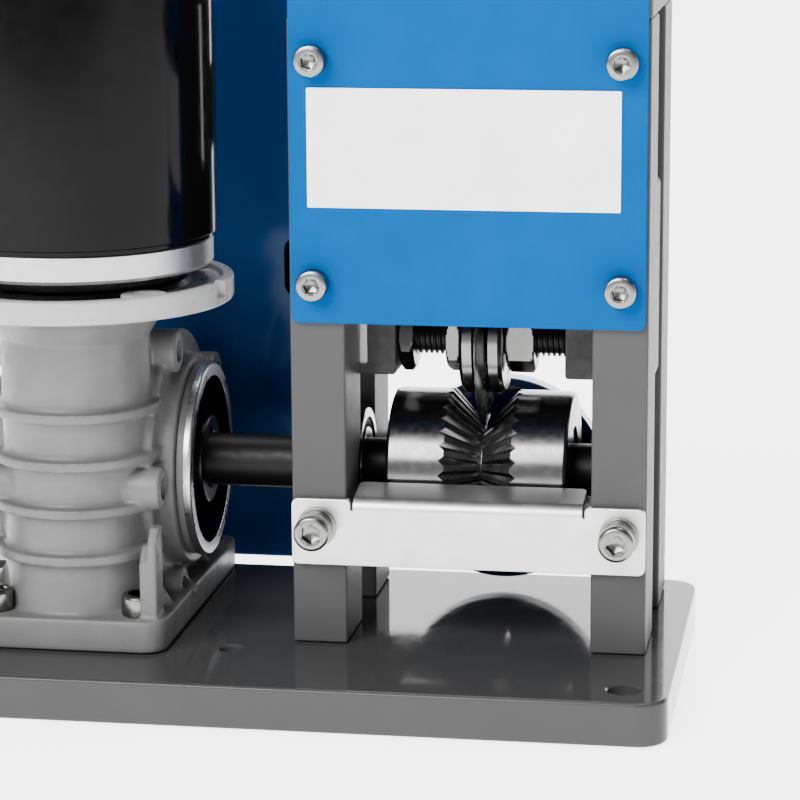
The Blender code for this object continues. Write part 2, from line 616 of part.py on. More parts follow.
def build_turret():
    plate_front = FRAME_DEPTH + SEAT
    half = POST_OUTER - REST_SIDE_INSET
    turret_z = BASE_TOP + TURRET_HEIGHT
    centre_x = TURRET_OFFSET + WIRE_LINE
    bottom = BASE_TOP + GUIDE_PLATE_BOTTOM
    outline = fillet(box_corners(-half, half, bottom, BASE_TOP + GUIDE_PLATE_TOP, GUIDE_PLATE_CORNER))
    plate = extruded("guide_plate", ZINC, outline, "Y", plate_front, plate_front + GUIDE_PLATE_THICKNESS)
    holes = [(way * POST_MIDDLE, guide_plate_middle(), REST_SCREW_SHANK_RADIUS + SEAT) for way in (-1, 1)]
    holes.append((centre_x, turret_z, TURRET_BOLT_RADIUS + SEAT))
    plate_back = plate_front + GUIDE_PLATE_THICKNESS
    drill(plate, "guide_plate_holes", "Y", plate_front - OVERRUN, plate_back + OVERRUN, holes)
    for side, way in (("left", -1), ("right", 1)):
        seat = (way * POST_MIDDLE, plate_back + SEAT, guide_plate_middle())
        cap_screw(f"guide_screw_{side}", REST_SCREW_HEAD_RADIUS, REST_SCREW_HEAD_HEIGHT,
                  REST_SCREW_SHANK_RADIUS, REST_SCREW_GRIP, "Y", seat, -1.0)
    back = plate_front - SEAT
    front = back - TURRET_THICKNESS
    centre = (centre_x, front, turret_z)
    disc = disc_profile(TURRET_RADIUS, 0.0, TURRET_THICKNESS, TURRET_EDGE, TURRET_BOLT_RADIUS + SEAT)
    turret = turned("guide_turret", BLUE, disc, "Y", centre, LARGE_STEPS)
    first = -math.asin(TURRET_OFFSET / GUIDE_CIRCLE)
    spots = ring_points(GUIDE_CIRCLE, len(GUIDE_HOLE_SHARES), first)
    holes = [(centre_x + u, turret_z + v, GUIDE_HOLE_RADIUS * share)
             for (u, v), share in zip(spots, GUIDE_HOLE_SHARES)]
    drill(turret, "guide_turret_holes", "Y", front - OVERRUN, back + OVERRUN, holes, SMALL_STEPS)
    cap_screw("turret_bolt", TURRET_BOLT_HEAD_RADIUS, TURRET_BOLT_HEAD_HEIGHT, TURRET_BOLT_RADIUS,
              TURRET_THICKNESS + 2 * SEAT + GUIDE_PLATE_THICKNESS + SEAT, "Y", (centre_x, front - SEAT, turret_z))


def build_carriage():
    """An arch of one section: two arms in the slots, joined above the blade."""
    outer = POST_OUTER - CARRIAGE_SIDE_INSET
    inner = CARRIAGE_ARM_INNER
    right = [(outer, ARM_BOTTOM, 0.0), (outer, BAR_TOP, CARRIAGE_CORNER)]
    left = [(-outer, BAR_TOP, CARRIAGE_CORNER), (-outer, ARM_BOTTOM, 0.0)]
    arch = [(-inner, ARM_BOTTOM, CARRIAGE_CORNER), (-inner, BAR_BOTTOM, CARRIAGE_INNER_CORNER),
            (inner, BAR_BOTTOM, CARRIAGE_INNER_CORNER), (inner, ARM_BOTTOM, CARRIAGE_CORNER)]
    front = SLOT_FRONT + SEAT
    back = SLOT_BACK - SEAT
    yoke = extruded("carriage_yoke", DARK_STEEL, fillet(right + left + arch), "Y", front, back)
    groove_low = ARM_BOTTOM + GUIDE_GROOVE_END
    bm = bmesh.new()
    for way in (-1, 1):
        near, far = sorted((way * (POST_INNER - GUIDE_GROOVE_WIDTH), way * (POST_INNER + POST_EDGE)))
        corners = box_corners(near, far, groove_low, BAR_BOTTOM)
        foot = 0 if way > 0 else 1
        corners[foot] = (*corners[foot][:2], GUIDE_GROOVE_WIDTH / 2)
        prism(bm, fillet(corners), "Y", front - OVERRUN, front + GUIDE_GROOVE_DEPTH)
    combine(yoke, place_mesh("yoke_grooves", bm, DARK_STEEL), "DIFFERENCE")
    journal = [(0.0, AXIS_Y, SCREW_JOURNAL_RADIUS + SEAT)]
    drill(yoke, "yoke_screw_hole", "Z", BAR_BOTTOM - OVERRUN, BAR_TOP + OVERRUN, journal)
    reach = inner + ROD_SOCKET_DEPTH
    drill(yoke, "yoke_rod_hole", "X", -reach - SEAT, reach + SEAT, [(AXIS_Y, ROD_Z, ROD_RADIUS + SEAT)])
    rod = [(0.0, -reach), (ROD_RADIUS - HEAD_CHAMFER, -reach), (ROD_RADIUS, HEAD_CHAMFER - reach),
           (ROD_RADIUS, reach - HEAD_CHAMFER), (ROD_RADIUS - HEAD_CHAMFER, reach), (0.0, reach)]
    turned("blade_rod", BLACK, rod, "X", (0.0, AXIS_Y, ROD_Z), SMALL_STEPS)


def build_blade():
    """The stack on the rod: nut, flange, disc blade, flange, nut, with a lock nut at the left arm."""
    bore = ROD_RADIUS + SEAT
    half = BLADE_THICKNESS / 2
    land = BLADE_RADIUS - BLADE_BEVEL_WIDTH
    tip = BLADE_EDGE_WIDTH / 2
    blade = [(bore, -half), (land, -half), (BLADE_RADIUS, -tip), (BLADE_RADIUS, tip), (land, half), (bore, half)]
    axle = (WIRE_LINE, AXIS_Y, ROD_Z)
    turned("blade_disc", STEEL, blade, "X", axle, LARGE_STEPS)
    seat = half + SEAT
    end = seat + FLANGE_WIDTH
    for side, way in (("left", -1), ("right", 1)):
        rim = FLANGE_RADIUS - FLANGE_CHAMFER
        profile = [(bore, way * seat), (rim, way * seat), (FLANGE_RADIUS, way * (seat + FLANGE_CHAMFER)),
                   (FLANGE_RADIUS, way * (end - FLANGE_CHAMFER)), (rim, way * end), (bore, way * end)]
        turned(f"blade_flange_{side}", STEEL, profile, "X", axle, ROUND_STEPS)
    stop = end + SEAT
    jam_seat = (WIRE_LINE - stop - JAM_NUT_HEIGHT, AXIS_Y, ROD_Z)
    hex_nut("blade_nut_left", NUT_ACROSS_FLATS, JAM_NUT_HEIGHT, bore, jam_seat)
    hex_nut("blade_nut_right", NUT_ACROSS_FLATS, FULL_NUT_HEIGHT, bore, (WIRE_LINE + stop, AXIS_Y, ROD_Z))
    hex_nut("rod_lock_nut", NUT_ACROSS_FLATS, JAM_NUT_HEIGHT, bore, (SEAT - CARRIAGE_ARM_INNER, AXIS_Y, ROD_Z))


def build_roller():
    """Cylinder with a turned V groove whose flanks are cut into teeth that run out at the root.

    Each tooth has two spokes: at the ridge the groove is narrow, at the gullet it reaches further out."""
    left = -ROLLER_LENGTH / 2
    right = ROLLER_LENGTH / 2
    bore = SHAFT_RADIUS + SEAT
    pitch = 2 * math.pi / TOOTH_COUNT
    rings = []
    for k in range(TOOTH_COUNT):
        for share, deep in ((0.0, TOOTH_DEPTH), (TOOTH_RISE_SHARE, 0.0)):
            angle = (k + share) * pitch
            reach = GROOVE_RIDGE_HALF_WIDTH + deep
            section = [
                (left, bore), (left, ROLLER_RADIUS - ROLLER_CHAMFER), (left + ROLLER_CHAMFER, ROLLER_RADIUS),
                (WIRE_LINE - reach, ROLLER_RADIUS), (WIRE_LINE - GROOVE_ROOT_WIDTH / 2, GROOVE_ROOT_RADIUS),
                (WIRE_LINE + GROOVE_ROOT_WIDTH / 2, GROOVE_ROOT_RADIUS), (WIRE_LINE + reach, ROLLER_RADIUS),
                (right - ROLLER_CHAMFER, ROLLER_RADIUS), (right, ROLLER_RADIUS - ROLLER_CHAMFER), (right, bore),
            ]
            rings.append([(x, radius * math.sin(angle), radius * math.cos(angle)) for x, radius in section])
    bm = bmesh.new()
    centre = Vector((0.0, AXIS_Y, SHAFT_Z))
    loops = [[bm.verts.new(centre + Vector(point)) for point in ring] for ring in rings]
    edges = []
    for loop in loops:
        edges.append([bm.edges.new((loop[i], loop[(i + 1) % len(loop)])) for i in range(len(loop))])
    for i in range(len(loops)):
        bmesh.ops.bridge_loops(bm, edges=edges[i] + edges[(i + 1) % len(loops)])
    place_mesh("feed_roller", bm, STEEL, centre)


def build_shaft():
    """Shaft with a keyway, the two bearings in the posts and the gear unit's hollow output hub."""
    left = GEARBOX_X - HUB_HALF_LENGTH
    right = POST_OUTER - SHAFT_END_PLAY
    centre = (0.0, AXIS_Y, SHAFT_Z)
    outline = disc_profile(SHAFT_RADIUS, left, right, SHAFT_CHAMFER)
    shaft = turned("drive_shaft", BLACK, outline, "X", centre, ROUND_STEPS)
    key_low = SHAFT_Z + SHAFT_RADIUS - KEY_SUNK
    key_top = key_low + KEY_HEIGHT
    key_right = GEARBOX_X + KEY_HALF_LENGTH
    key_left = GEARBOX_X - KEY_HALF_LENGTH
    half = KEY_WIDTH / 2
    near = AXIS_Y - half - SEAT
    slot = fillet(box_corners(key_left - SEAT, key_right + SEAT, near, AXIS_Y + half + SEAT, half))
    way = extruded("shaft_keyway", BLACK, slot, "Z", key_low - SEAT, key_top + OVERRUN)
    combine(shaft, way, "DIFFERENCE")
    key = fillet(box_corners(key_left, key_right, AXIS_Y - half, AXIS_Y + half, half - SEAT))
    extruded("drive_key", STEEL, key, "Z", key_low, key_top, (GEARBOX_X, AXIS_Y, SHAFT_Z))
    hub = disc_profile(HUB_RADIUS, -HUB_HALF_LENGTH, HUB_HALF_LENGTH, SHAFT_CHAMFER, SHAFT_RADIUS + SEAT)
    hollow = turned("output_hub", STEEL, hub, "X", (GEARBOX_X, AXIS_Y, SHAFT_Z), ROUND_STEPS)
    far = AXIS_Y + half + SEAT
    broach = [(near, SHAFT_Z), (far, SHAFT_Z), (far, key_top + SEAT), (near, key_top + SEAT)]
    reach = HUB_HALF_LENGTH + OVERRUN
    keyway = extruded("hub_keyway", STEEL, broach, "X", GEARBOX_X - reach, GEARBOX_X + reach)
    combine(hollow, keyway, "DIFFERENCE")
    inner_rim = SHAFT_RADIUS + BEARING_RING_WALL
    outer_rim = BEARING_RADIUS - BEARING_RING_WALL
    for side, way in (("left", -1), ("right", 1)):
        near = way * POST_INNER
        far = way * (POST_INNER + BEARING_WIDTH)
        low = near + way * BEARING_SHIELD_DEPTH
        shield = inner_rim + SEAT
        race = [(outer_rim, near), (BEARING_RADIUS, near), (BEARING_RADIUS, far),
                (shield, far), (shield, low), (outer_rim, low)]
        turned(f"bearing_outer_{side}", STEEL, race, "X", centre, ROUND_STEPS)
        ring = disc_profile(inner_rim, near, far, 0.0, SHAFT_RADIUS + SEAT)
        turned(f"bearing_inner_{side}", STEEL, ring, "X", centre, ROUND_STEPS)


def build_gearbox():
    """Cast housing: output drum and bosses, upright worm barrel, web, ribs, lugs and feet, joined and bored."""
    x = GEARBOX_X
    axis = Vector((x, AXIS_Y, SHAFT_Z))
    top = BASE_TOP + INPUT_FACE_HEIGHT
    low = BASE_TOP + SEAT
    core = HUB_RADIUS / 2
    drum = [(core, -BOSS_HALF_WIDTH), (BOSS_RADIUS, -BOSS_HALF_WIDTH), (BOSS_RADIUS, -DRUM_HALF_WIDTH),
            (DRUM_RADIUS, POST_EDGE - DRUM_HALF_WIDTH), (DRUM_RADIUS, DRUM_HALF_WIDTH - POST_EDGE),
            (BOSS_RADIUS, DRUM_HALF_WIDTH), (BOSS_RADIUS, BOSS_HALF_WIDTH), (core, BOSS_HALF_WIDTH)]
    housing = turned("gearbox_housing", CAST, drum, "X", axis, ROUND_STEPS)
    gap = (top - low - FOOT_HEIGHT - 2 * WORM_BARREL_FOOT) / RIB_COUNT
    barrel = [(0.0, WORM_BARREL_FOOT), (WORM_BARREL_RADIUS, WORM_BARREL_FOOT)]
    for k in range(RIB_COUNT):
        z = FOOT_HEIGHT + WORM_BARREL_FOOT + gap * k
        root = RIB_THICKNESS / 2
        barrel += [(WORM_BARREL_RADIUS, z - root), (RIB_REACH, z - root), (WORM_BARREL_RADIUS, z + root)]
    barrel += [(WORM_BARREL_RADIUS, top - low), (0.0, top - low)]
    combine(housing, turned("gearbox_barrel", CAST, barrel, "Z", (x, WORM_Y, low), BARREL_STEPS), "UNION")
    web_front = WORM_Y - WORM_BARREL_RADIUS / 2
    web_back = AXIS_Y + DRUM_RADIUS / 2
    web_foot = low + FOOT_HEIGHT / 2
    web_top = top - INPUT_FLANGE_THICKNESS
    web = [(web_front, web_foot), (web_back, web_foot), (web_back, SHAFT_Z + DRUM_RADIUS / 2),
           (WORM_Y + WORM_BARREL_RADIUS / 2, web_top), (web_front, web_top)]
    combine(housing, extruded("gearbox_web", CAST, web, "X", x - BODY_HALF_WIDTH, x + BODY_HALF_WIDTH), "UNION")
    face = x + BOSS_HALF_WIDTH
    bore = [(AXIS_Y, SHAFT_Z, HUB_RADIUS + SEAT)]
    drill(housing, "gearbox_bore", "X", x - BOSS_HALF_WIDTH - OVERRUN, face + OVERRUN, bore, BORE_STEPS)
    pocket = OUTPUT_RING_RADIUS - OUTPUT_RING_WALL
    recess = [(AXIS_Y, SHAFT_Z, pocket)]
    drill(housing, "gearbox_pocket", "X", face - SEAL_WIDTH - SEAL_RECESS, face + OVERRUN, recess, POCKET_STEPS)
    foot = fillet(box_corners(x - FOOT_HALF_WIDTH, x + FOOT_HALF_WIDTH,
                              AXIS_Y - FOOT_FRONT_REACH, AXIS_Y + FOOT_BACK_REACH, FOOT_CORNER))
    plinth = extruded("gearbox_foot", CAST, foot, "Z", low, BASE_TOP + FOOT_HEIGHT)
    foot_holes = [(u, v, FOOT_BOLT_SHANK_RADIUS + SEAT) for u, v in foot_bolt_places()]
    drill(plinth, "gearbox_foot_holes", "Z", BASE_TOP - OVERRUN, BASE_TOP + FOOT_HEIGHT + OVERRUN, foot_holes)
    combine(housing, plinth, "UNION")
    lugs = [(AXIS_Y + LUG_CIRCLE * math.cos(a), SHAFT_Z + LUG_CIRCLE * math.sin(a)) for a in LUG_ANGLES]
    bm = bmesh.new()
    for y, z in lugs:
        turn(bm, disc_profile(LUG_RADIUS, -LUG_HALF_WIDTH, LUG_HALF_WIDTH), "X", Vector((x, y, z)), SMALL_STEPS)
    combine(housing, place_mesh("gearbox_lugs", bm, CAST), "UNION")
    reach = LUG_HALF_WIDTH + OVERRUN
    lug_holes = [(y, z, LUG_HOLE_RADIUS) for y, z in lugs]
    drill(housing, "gearbox_lug_holes", "X", x - reach, x + reach, lug_holes, SMALL_STEPS)
    ring = disc_profile(OUTPUT_RING_RADIUS, SEAT, OUTPUT_RING_WIDTH, OUTPUT_RING_CHAMFER, pocket)
    turned("output_ring", SILVER, ring, "X", (x + BOSS_HALF_WIDTH, AXIS_Y, SHAFT_Z), LARGE_STEPS)
    seal = disc_profile(pocket - SEAT, -SEAL_RECESS - SEAL_WIDTH + SEAT, -SEAL_RECESS, 0.0, HUB_RADIUS + SEAT)
    turned("oil_seal", RUBBER, seal, "X", (x + BOSS_HALF_WIDTH, AXIS_Y, SHAFT_Z), BARREL_STEPS)
    for number, (u, v) in enumerate(foot_bolt_places(), 1):
        cap_screw(f"gearbox_bolt_{number}", FOOT_BOLT_HEAD_RADIUS, FOOT_BOLT_HEAD_HEIGHT, FOOT_BOLT_SHANK_RADIUS,
                  FOOT_BOLT_GRIP, "Z", (u, v, BASE_TOP + FOOT_HEIGHT + SEAT), -1.0)


def build_motor():
    x, y = GEARBOX_X, WORM_Y
    low = BASE_TOP + INPUT_FACE_HEIGHT + SEAT
    rim = disc_profile(INPUT_FLANGE_RADIUS, 0.0, INPUT_FLANGE_THICKNESS, INPUT_FLANGE_EDGE)
    flange = turned("input_flange", SILVER, rim, "Z", (x, y, low), LARGE_STEPS)
    holes = [(x + u, y + v, INPUT_HOLE_RADIUS) for u, v in ring_points(INPUT_HOLE_CIRCLE, 4, math.pi / 4)]
    face = low + INPUT_FLANGE_THICKNESS
    drill(flange, "input_flange_holes", "Z", low - OVERRUN, face + OVERRUN, holes, SMALL_STEPS)
    bell_low = face + SEAT
    bell_top = MOTOR_NECK_HEIGHT + MOTOR_BELL_HEIGHT
    bell = [(0.0, 0.0), (MOTOR_NECK_RADIUS, 0.0), (MOTOR_NECK_RADIUS, MOTOR_NECK_HEIGHT),
            (MOTOR_BELL_RADIUS - MOTOR_EDGE, MOTOR_NECK_HEIGHT),
            (MOTOR_BELL_RADIUS, MOTOR_NECK_HEIGHT + MOTOR_EDGE),
            (MOTOR_BELL_RADIUS, bell_top), (0.0, bell_top)]
    turned("motor_end_bell", SILVER, bell, "Z", (x, y, bell_low), LARGE_STEPS)
    body_low = bell_low + bell_top + SEAT
    dome_radius = MOTOR_RADIUS - MOTOR_DOME_EDGE
    dome_low = MOTOR_LENGTH - MOTOR_DOME_EDGE
    arc = [(dome_radius + MOTOR_DOME_EDGE * math.cos(a), dome_low + MOTOR_DOME_EDGE * math.sin(a))
           for a in (math.pi / 2 * k / ARC_STEPS for k in range(ARC_STEPS + 1))]
    foot = [(0.0, 0.0), (MOTOR_RADIUS - MOTOR_EDGE, 0.0), (MOTOR_RADIUS, MOTOR_EDGE)]
    body = foot + arc + [(0.0, MOTOR_LENGTH)]
    turned("motor_body", BLACK, body, "Z", (x, y, body_low), LARGE_STEPS)


def build_lift():
    """Lift screw threaded in the top plate, captive in the carriage, with a lobed hand knob."""
    foot = BAR_BOTTOM - SEAT - COLLAR_HEIGHT
    shoulder = BAR_TOP + SEAT
    knob_low = PLATE_TOP + KNOB_CLEARANCE
    top = knob_low + KNOB_HEIGHT - KNOB_EDGE
    screw = [
        (0.0, foot), (SCREW_JOURNAL_RADIUS - SCREW_END_CHAMFER, foot),
        (SCREW_JOURNAL_RADIUS, foot + SCREW_END_CHAMFER),
        (SCREW_JOURNAL_RADIUS, shoulder), (SCREW_SHOULDER_RADIUS, shoulder),
        (SCREW_SHOULDER_RADIUS, shoulder + SCREW_SHOULDER_HEIGHT),
        (SCREW_RADIUS, shoulder + SCREW_SHOULDER_HEIGHT), (SCREW_RADIUS, top - SCREW_END_CHAMFER),
        (SCREW_RADIUS - SCREW_END_CHAMFER, top), (0.0, top),
    ]
    axle = (0.0, AXIS_Y, 0.0)
    turned("lift_screw", STEEL, screw, "Z", axle, SMALL_STEPS + ARC_STEPS)
    collar = disc_profile(COLLAR_RADIUS, foot, foot + COLLAR_HEIGHT, HEAD_CHAMFER, SCREW_JOURNAL_RADIUS + SEAT)
    turned("screw_collar", STEEL, collar, "Z", axle, SMALL_STEPS + ARC_STEPS)
    hub_top = knob_low + KNOB_HUB_HEIGHT
    steps = KNOB_LOBES * (ARC_STEPS + 2)
    outline = []
    for k in range(steps):
        angle = 2 * math.pi * k / steps
        radius = KNOB_RADIUS * (1 - KNOB_LOBE_SHARE * (1 - math.cos(KNOB_LOBES * angle)) / 2)
        outline.append((radius * math.cos(angle), AXIS_Y + radius * math.sin(angle)))
    knob = extruded("hand_knob", RUBBER, outline, "Z", hub_top, knob_low + KNOB_HEIGHT, (0.0, AXIS_Y, 0.0))
    soften(knob, KNOB_EDGE / 2)
    hub = disc_profile(KNOB_HUB_RADIUS, knob_low, hub_top + KNOB_EDGE)
    neck = turned("hand_knob_hub", RUBBER, hub, "Z", axle, SMALL_STEPS + ARC_STEPS)
    combine(knob, neck, "UNION")
    drill(knob, "hand_knob_bore", "Z", knob_low - OVERRUN, top + SEAT, [(0.0, AXIS_Y, SCREW_RADIUS + SEAT)])


def build_rear():
    """Electrics housing on two bent brackets off the left rear post, with its window and rocker switch."""
    post_side = -POST_OUTER - SEAT
    right = -POST_OUTER - HOUSING_POST_GAP
    low = BASE_TOP + HOUSING_LIFT
    front = HOUSING_FRONT
    outline = fillet(box_corners(-HOUSING_LEFT_REACH, right, low, FRAME_TOP, HOUSING_CORNER))
    box = extruded("rear_housing", BLUE, outline, "Y", front, front + HOUSING_DEPTH)
    soften(box, HOUSING_EDGE)
    wall = HOUSING_WALL
    inside = fillet(box_corners(wall - HOUSING_LEFT_REACH, right - wall,
                                low + wall, FRAME_TOP - wall, HOUSING_CORNER - wall))
    hollow = extruded("housing_hollow", BLUE, inside, "Y", front + wall, front + HOUSING_DEPTH + OVERRUN)
    combine(box, hollow, "DIFFERENCE")
    lid_front = front + HOUSING_DEPTH + SEAT
    extruded("rear_lid", BLUE, outline, "Y", lid_front, lid_front + LID_THICKNESS)
    window_right = right - WINDOW_MARGIN
    window_low = BASE_TOP + WINDOW_BOTTOM
    window = fillet(box_corners(window_right - WINDOW_WIDTH, window_right,
                                window_low, window_low + WINDOW_HEIGHT, WINDOW_CORNER))
    opening = extruded("cable_window", BLUE, window, "Y", front - OVERRUN, front + wall + OVERRUN)
    combine(box, opening, "DIFFERENCE")
    inner = BRACKET_CORNER - BRACKET_THICKNESS
    back = front - SEAT
    angle = fillet([
        (post_side, FRAME_DEPTH - BRACKET_GRIP, 0.0), (post_side, back, BRACKET_CORNER),
        (post_side - BRACKET_REACH, back, 0.0), (post_side - BRACKET_REACH, back - BRACKET_THICKNESS, 0.0),
        (post_side - BRACKET_THICKNESS, back - BRACKET_THICKNESS, inner),
        (post_side - BRACKET_THICKNESS, FRAME_DEPTH - BRACKET_GRIP, 0.0),
    ])
    high = FRAME_TOP - HIGH_BRACKET_FROM_TOP - BRACKET_HEIGHT
    for level, bottom in (("low", BASE_TOP + LOW_BRACKET_BOTTOM), ("high", high)):
        extruded(f"housing_bracket_{level}", GREY_PAINT, angle, "Z", bottom, bottom + BRACKET_HEIGHT)
    middle_y = front + HOUSING_DEPTH / 2
    middle_z = FRAME_TOP - SWITCH_FROM_TOP
    half_w, half_h = SWITCH_WIDTH / 2, SWITCH_LENGTH / 2
    well = box_corners(middle_y - half_w + SWITCH_RIM, middle_y + half_w - SWITCH_RIM,
                       middle_z - half_h + SWITCH_RIM, middle_z + half_h - SWITCH_RIM)
    socket = [(u, v) for u, v, _ in well]
    pocket = extruded("switch_socket", BLUE, socket, "X", right - wall - OVERRUN, right + OVERRUN)
    combine(box, pocket, "DIFFERENCE")
    rim = box_corners(middle_y - half_w, middle_y + half_w, middle_z - half_h, middle_z + half_h, SWITCH_RIM)
    rim = fillet(rim, 2)
    frame = extruded("switch_frame", RUBBER, rim, "X", right + SEAT, right + SWITCH_FRAME_PROUD)
    inner = SWITCH_RIM + SEAT
    barrel = box_corners(middle_y - half_w + inner, middle_y + half_w - inner,
                         middle_z - half_h + inner, middle_z + half_h - inner)
    body = extruded("switch_frame_body", RUBBER, [(u, v) for u, v, _ in barrel], "X",
                    right - SWITCH_FRAME_DEPTH, right + SWITCH_FRAME_PROUD / 2)
    combine(frame, body, "UNION")
    lip = inner + SWITCH_RIM / 2
    mouth = box_corners(middle_y - half_w + lip, middle_y + half_w - lip,
                        middle_z - half_h + lip, middle_z + half_h - lip)
    well_floor = right - SWITCH_FRAME_DEPTH + SWITCH_RIM
    opening = extruded("switch_mouth", RUBBER, [(u, v) for u, v, _ in mouth], "X", well_floor, right + OVERRUN)
    combine(frame, opening, "DIFFERENCE")
    # the rocker is a shallow V seen from the side, so that one half stands proud at a time
    play = lip + SEAT
    reach = half_h - play - SWITCH_RIM / 2
    pivot = (right, middle_y, middle_z)
    rise = reach * math.tan(ROCKER_SWING)
    outline = [(-reach, 0.0), (reach, 0.0), (reach, ROCKER_PROUD + rise),
               (0.0, ROCKER_PROUD), (-reach, ROCKER_PROUD + rise)]
    outline = [(right - SWITCH_RIM + depth, middle_z + along) for along, depth in outline]
    bm = prism(bmesh.new(), outline, "Y", middle_y - half_w + play, middle_y + half_w - play)
    bmesh.ops.rotate(bm, verts=bm.verts, cent=pivot, matrix=Matrix.Rotation(-ROCKER_SWING, 3, "Y"))
    place_mesh("switch_rocker", bm, RUBBER, pivot)


def main():
    for old in list(bpy.data.objects):
        bpy.data.objects.remove(old, do_unlink=True)
    build_base()
    build_posts()
    build_top_plate()
    build_cover()
    build_wire_rest()
    build_turret()
    build_carriage()
    build_blade()
    build_roller()
    build_shaft()
    build_gearbox()
    build_motor()
    build_lift()
    build_rear()


main()
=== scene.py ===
"""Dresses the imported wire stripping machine: detailed pieces, finishes, studio and camera."""

import math

import bmesh
import bpy
from bpy.props import FloatProperty, FloatVectorProperty, IntProperty, PointerProperty
from mathutils import Matrix, Vector


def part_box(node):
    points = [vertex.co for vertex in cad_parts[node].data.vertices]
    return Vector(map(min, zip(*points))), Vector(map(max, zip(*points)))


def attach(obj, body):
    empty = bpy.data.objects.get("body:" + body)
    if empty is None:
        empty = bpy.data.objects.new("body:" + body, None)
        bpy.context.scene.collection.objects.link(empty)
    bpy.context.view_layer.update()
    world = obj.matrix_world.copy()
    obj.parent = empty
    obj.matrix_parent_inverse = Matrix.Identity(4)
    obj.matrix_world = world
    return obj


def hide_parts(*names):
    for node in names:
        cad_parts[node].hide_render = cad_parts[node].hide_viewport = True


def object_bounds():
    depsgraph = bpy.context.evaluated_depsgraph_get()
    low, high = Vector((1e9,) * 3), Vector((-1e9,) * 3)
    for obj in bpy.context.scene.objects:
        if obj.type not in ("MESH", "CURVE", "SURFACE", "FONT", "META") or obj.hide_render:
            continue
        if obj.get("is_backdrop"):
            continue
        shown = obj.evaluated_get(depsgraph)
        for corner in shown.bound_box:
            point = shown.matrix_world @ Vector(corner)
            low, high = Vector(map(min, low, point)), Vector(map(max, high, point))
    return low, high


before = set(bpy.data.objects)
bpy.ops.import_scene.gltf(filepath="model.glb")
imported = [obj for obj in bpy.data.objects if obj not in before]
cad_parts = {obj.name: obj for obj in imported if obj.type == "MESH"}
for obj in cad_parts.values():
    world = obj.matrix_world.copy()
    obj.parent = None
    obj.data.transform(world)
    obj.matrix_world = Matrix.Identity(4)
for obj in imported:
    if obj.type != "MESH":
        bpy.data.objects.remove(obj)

bl_info = {
    "name": "Wire Stripping Machine",
    "version": (1, 0, 0),
    "blender": (4, 5, 0),
    "location": "View3D > Sidebar > Wire Stripper",
    "description": "Builds the dressed pieces, finishes and studio of a bench wire stripping machine",
    "category": "Object",
}

MM = 0.001
TINY = 1e-7
ROUND = 96
FINE_ROUND = 144
RING = 72
SHARP = math.radians(32)
FACE_GAP = 0.3 * MM

SHAFT_RADIUS = 7.5 * MM
SHAFT_BORE = SHAFT_RADIUS + FACE_GAP
ROD_BORE = 5.3 * MM
BOLT_BORE = 4.3 * MM
LIFT_BORE = 6.3 * MM
HOLE_CIRCLE = 19.4 * MM
TURRET_RADIUS = 29.9 * MM
BEARING_RADIUS = 16 * MM
LUG_CIRCLE = 37.4 * MM
LUG_RADIUS = 5.9 * MM
LUG_REACH = 25.8 * MM
LUG_ANGLES = tuple(map(math.radians, (114, 180, 246, 330, 30)))
RECESS_RADIUS = 23.7 * MM
RECESS_DEPTH = 5.2 * MM
RING_RADIUS = 27.7 * MM
HUB_BORE = 12.8 * MM
WORM_BORE_REACH = 30 * MM
FLANGE_RADIUS = 44 * MM
FLANGE_CIRCLE = 37.5 * MM
BELL_RADIUS = 38.6 * MM
MOTOR_RADIUS = 40 * MM
HOUSING_WALL = 1.8 * MM

BENCH_HOLE_INSET = 12 * MM
BENCH_HOLE_RADIUS = 4.5 * MM
CABLE_HOLE_RADIUS = 3.3 * MM
CABLE_HOLE = (-64.6 * MM, -7.9 * MM)
POCKET_DEPTH = 9.3 * MM
LABEL_LEFT, LABEL_RIGHT = -42.9 * MM, 40.9 * MM
LABEL_RISE = 31.5 * MM
REST_THICKNESS = 2 * MM
REST_BEND = math.radians(80)
REST_BEND_RADIUS = 1.5 * MM
REST_BEND_RISE = 15.5 * MM
REST_EAR_RISE = 18.5 * MM
REST_LIP = 10.2 * MM
WINDOW_LOW, WINDOW_HIGH = 94 * MM, 111.5 * MM
WINDOW_WIDTH = 10 * MM
WINDOW_INSET = 6.5 * MM
NUT_ACROSS = 17 * MM
THREAD_RADIUS = 5 * MM
VENT_SLOTS = 24
GUIDE_HOLE = 4.4 * MM
GUIDE_SHARES = (1.0, 0.30, 0.40, 0.50, 0.60, 0.70, 0.80, 0.90)


def middle(node):
    """Centre of a node's box."""
    low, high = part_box(node)
    return (low + high) / 2


SHAFT = middle("drive_shaft")
ROD = middle("blade_rod")
STACK = middle("blade_disc")
TURRET = middle("guide_turret")
GEAR = middle("output_hub")
WORM = middle("motor_body")
KNOB = middle("hand_knob")

TURN = {
    "X": Matrix.Rotation(math.pi / 2, 4, "Y"),
    "Y": Matrix.Rotation(-math.pi / 2, 4, "X"),
    "Z": Matrix.Identity(4),
}
SPREAD = {
    "X": lambda u, v, along: (along, u, v),
    "Y": lambda u, v, along: (u, along, v),
    "Z": lambda u, v, along: (u, v, along),
}


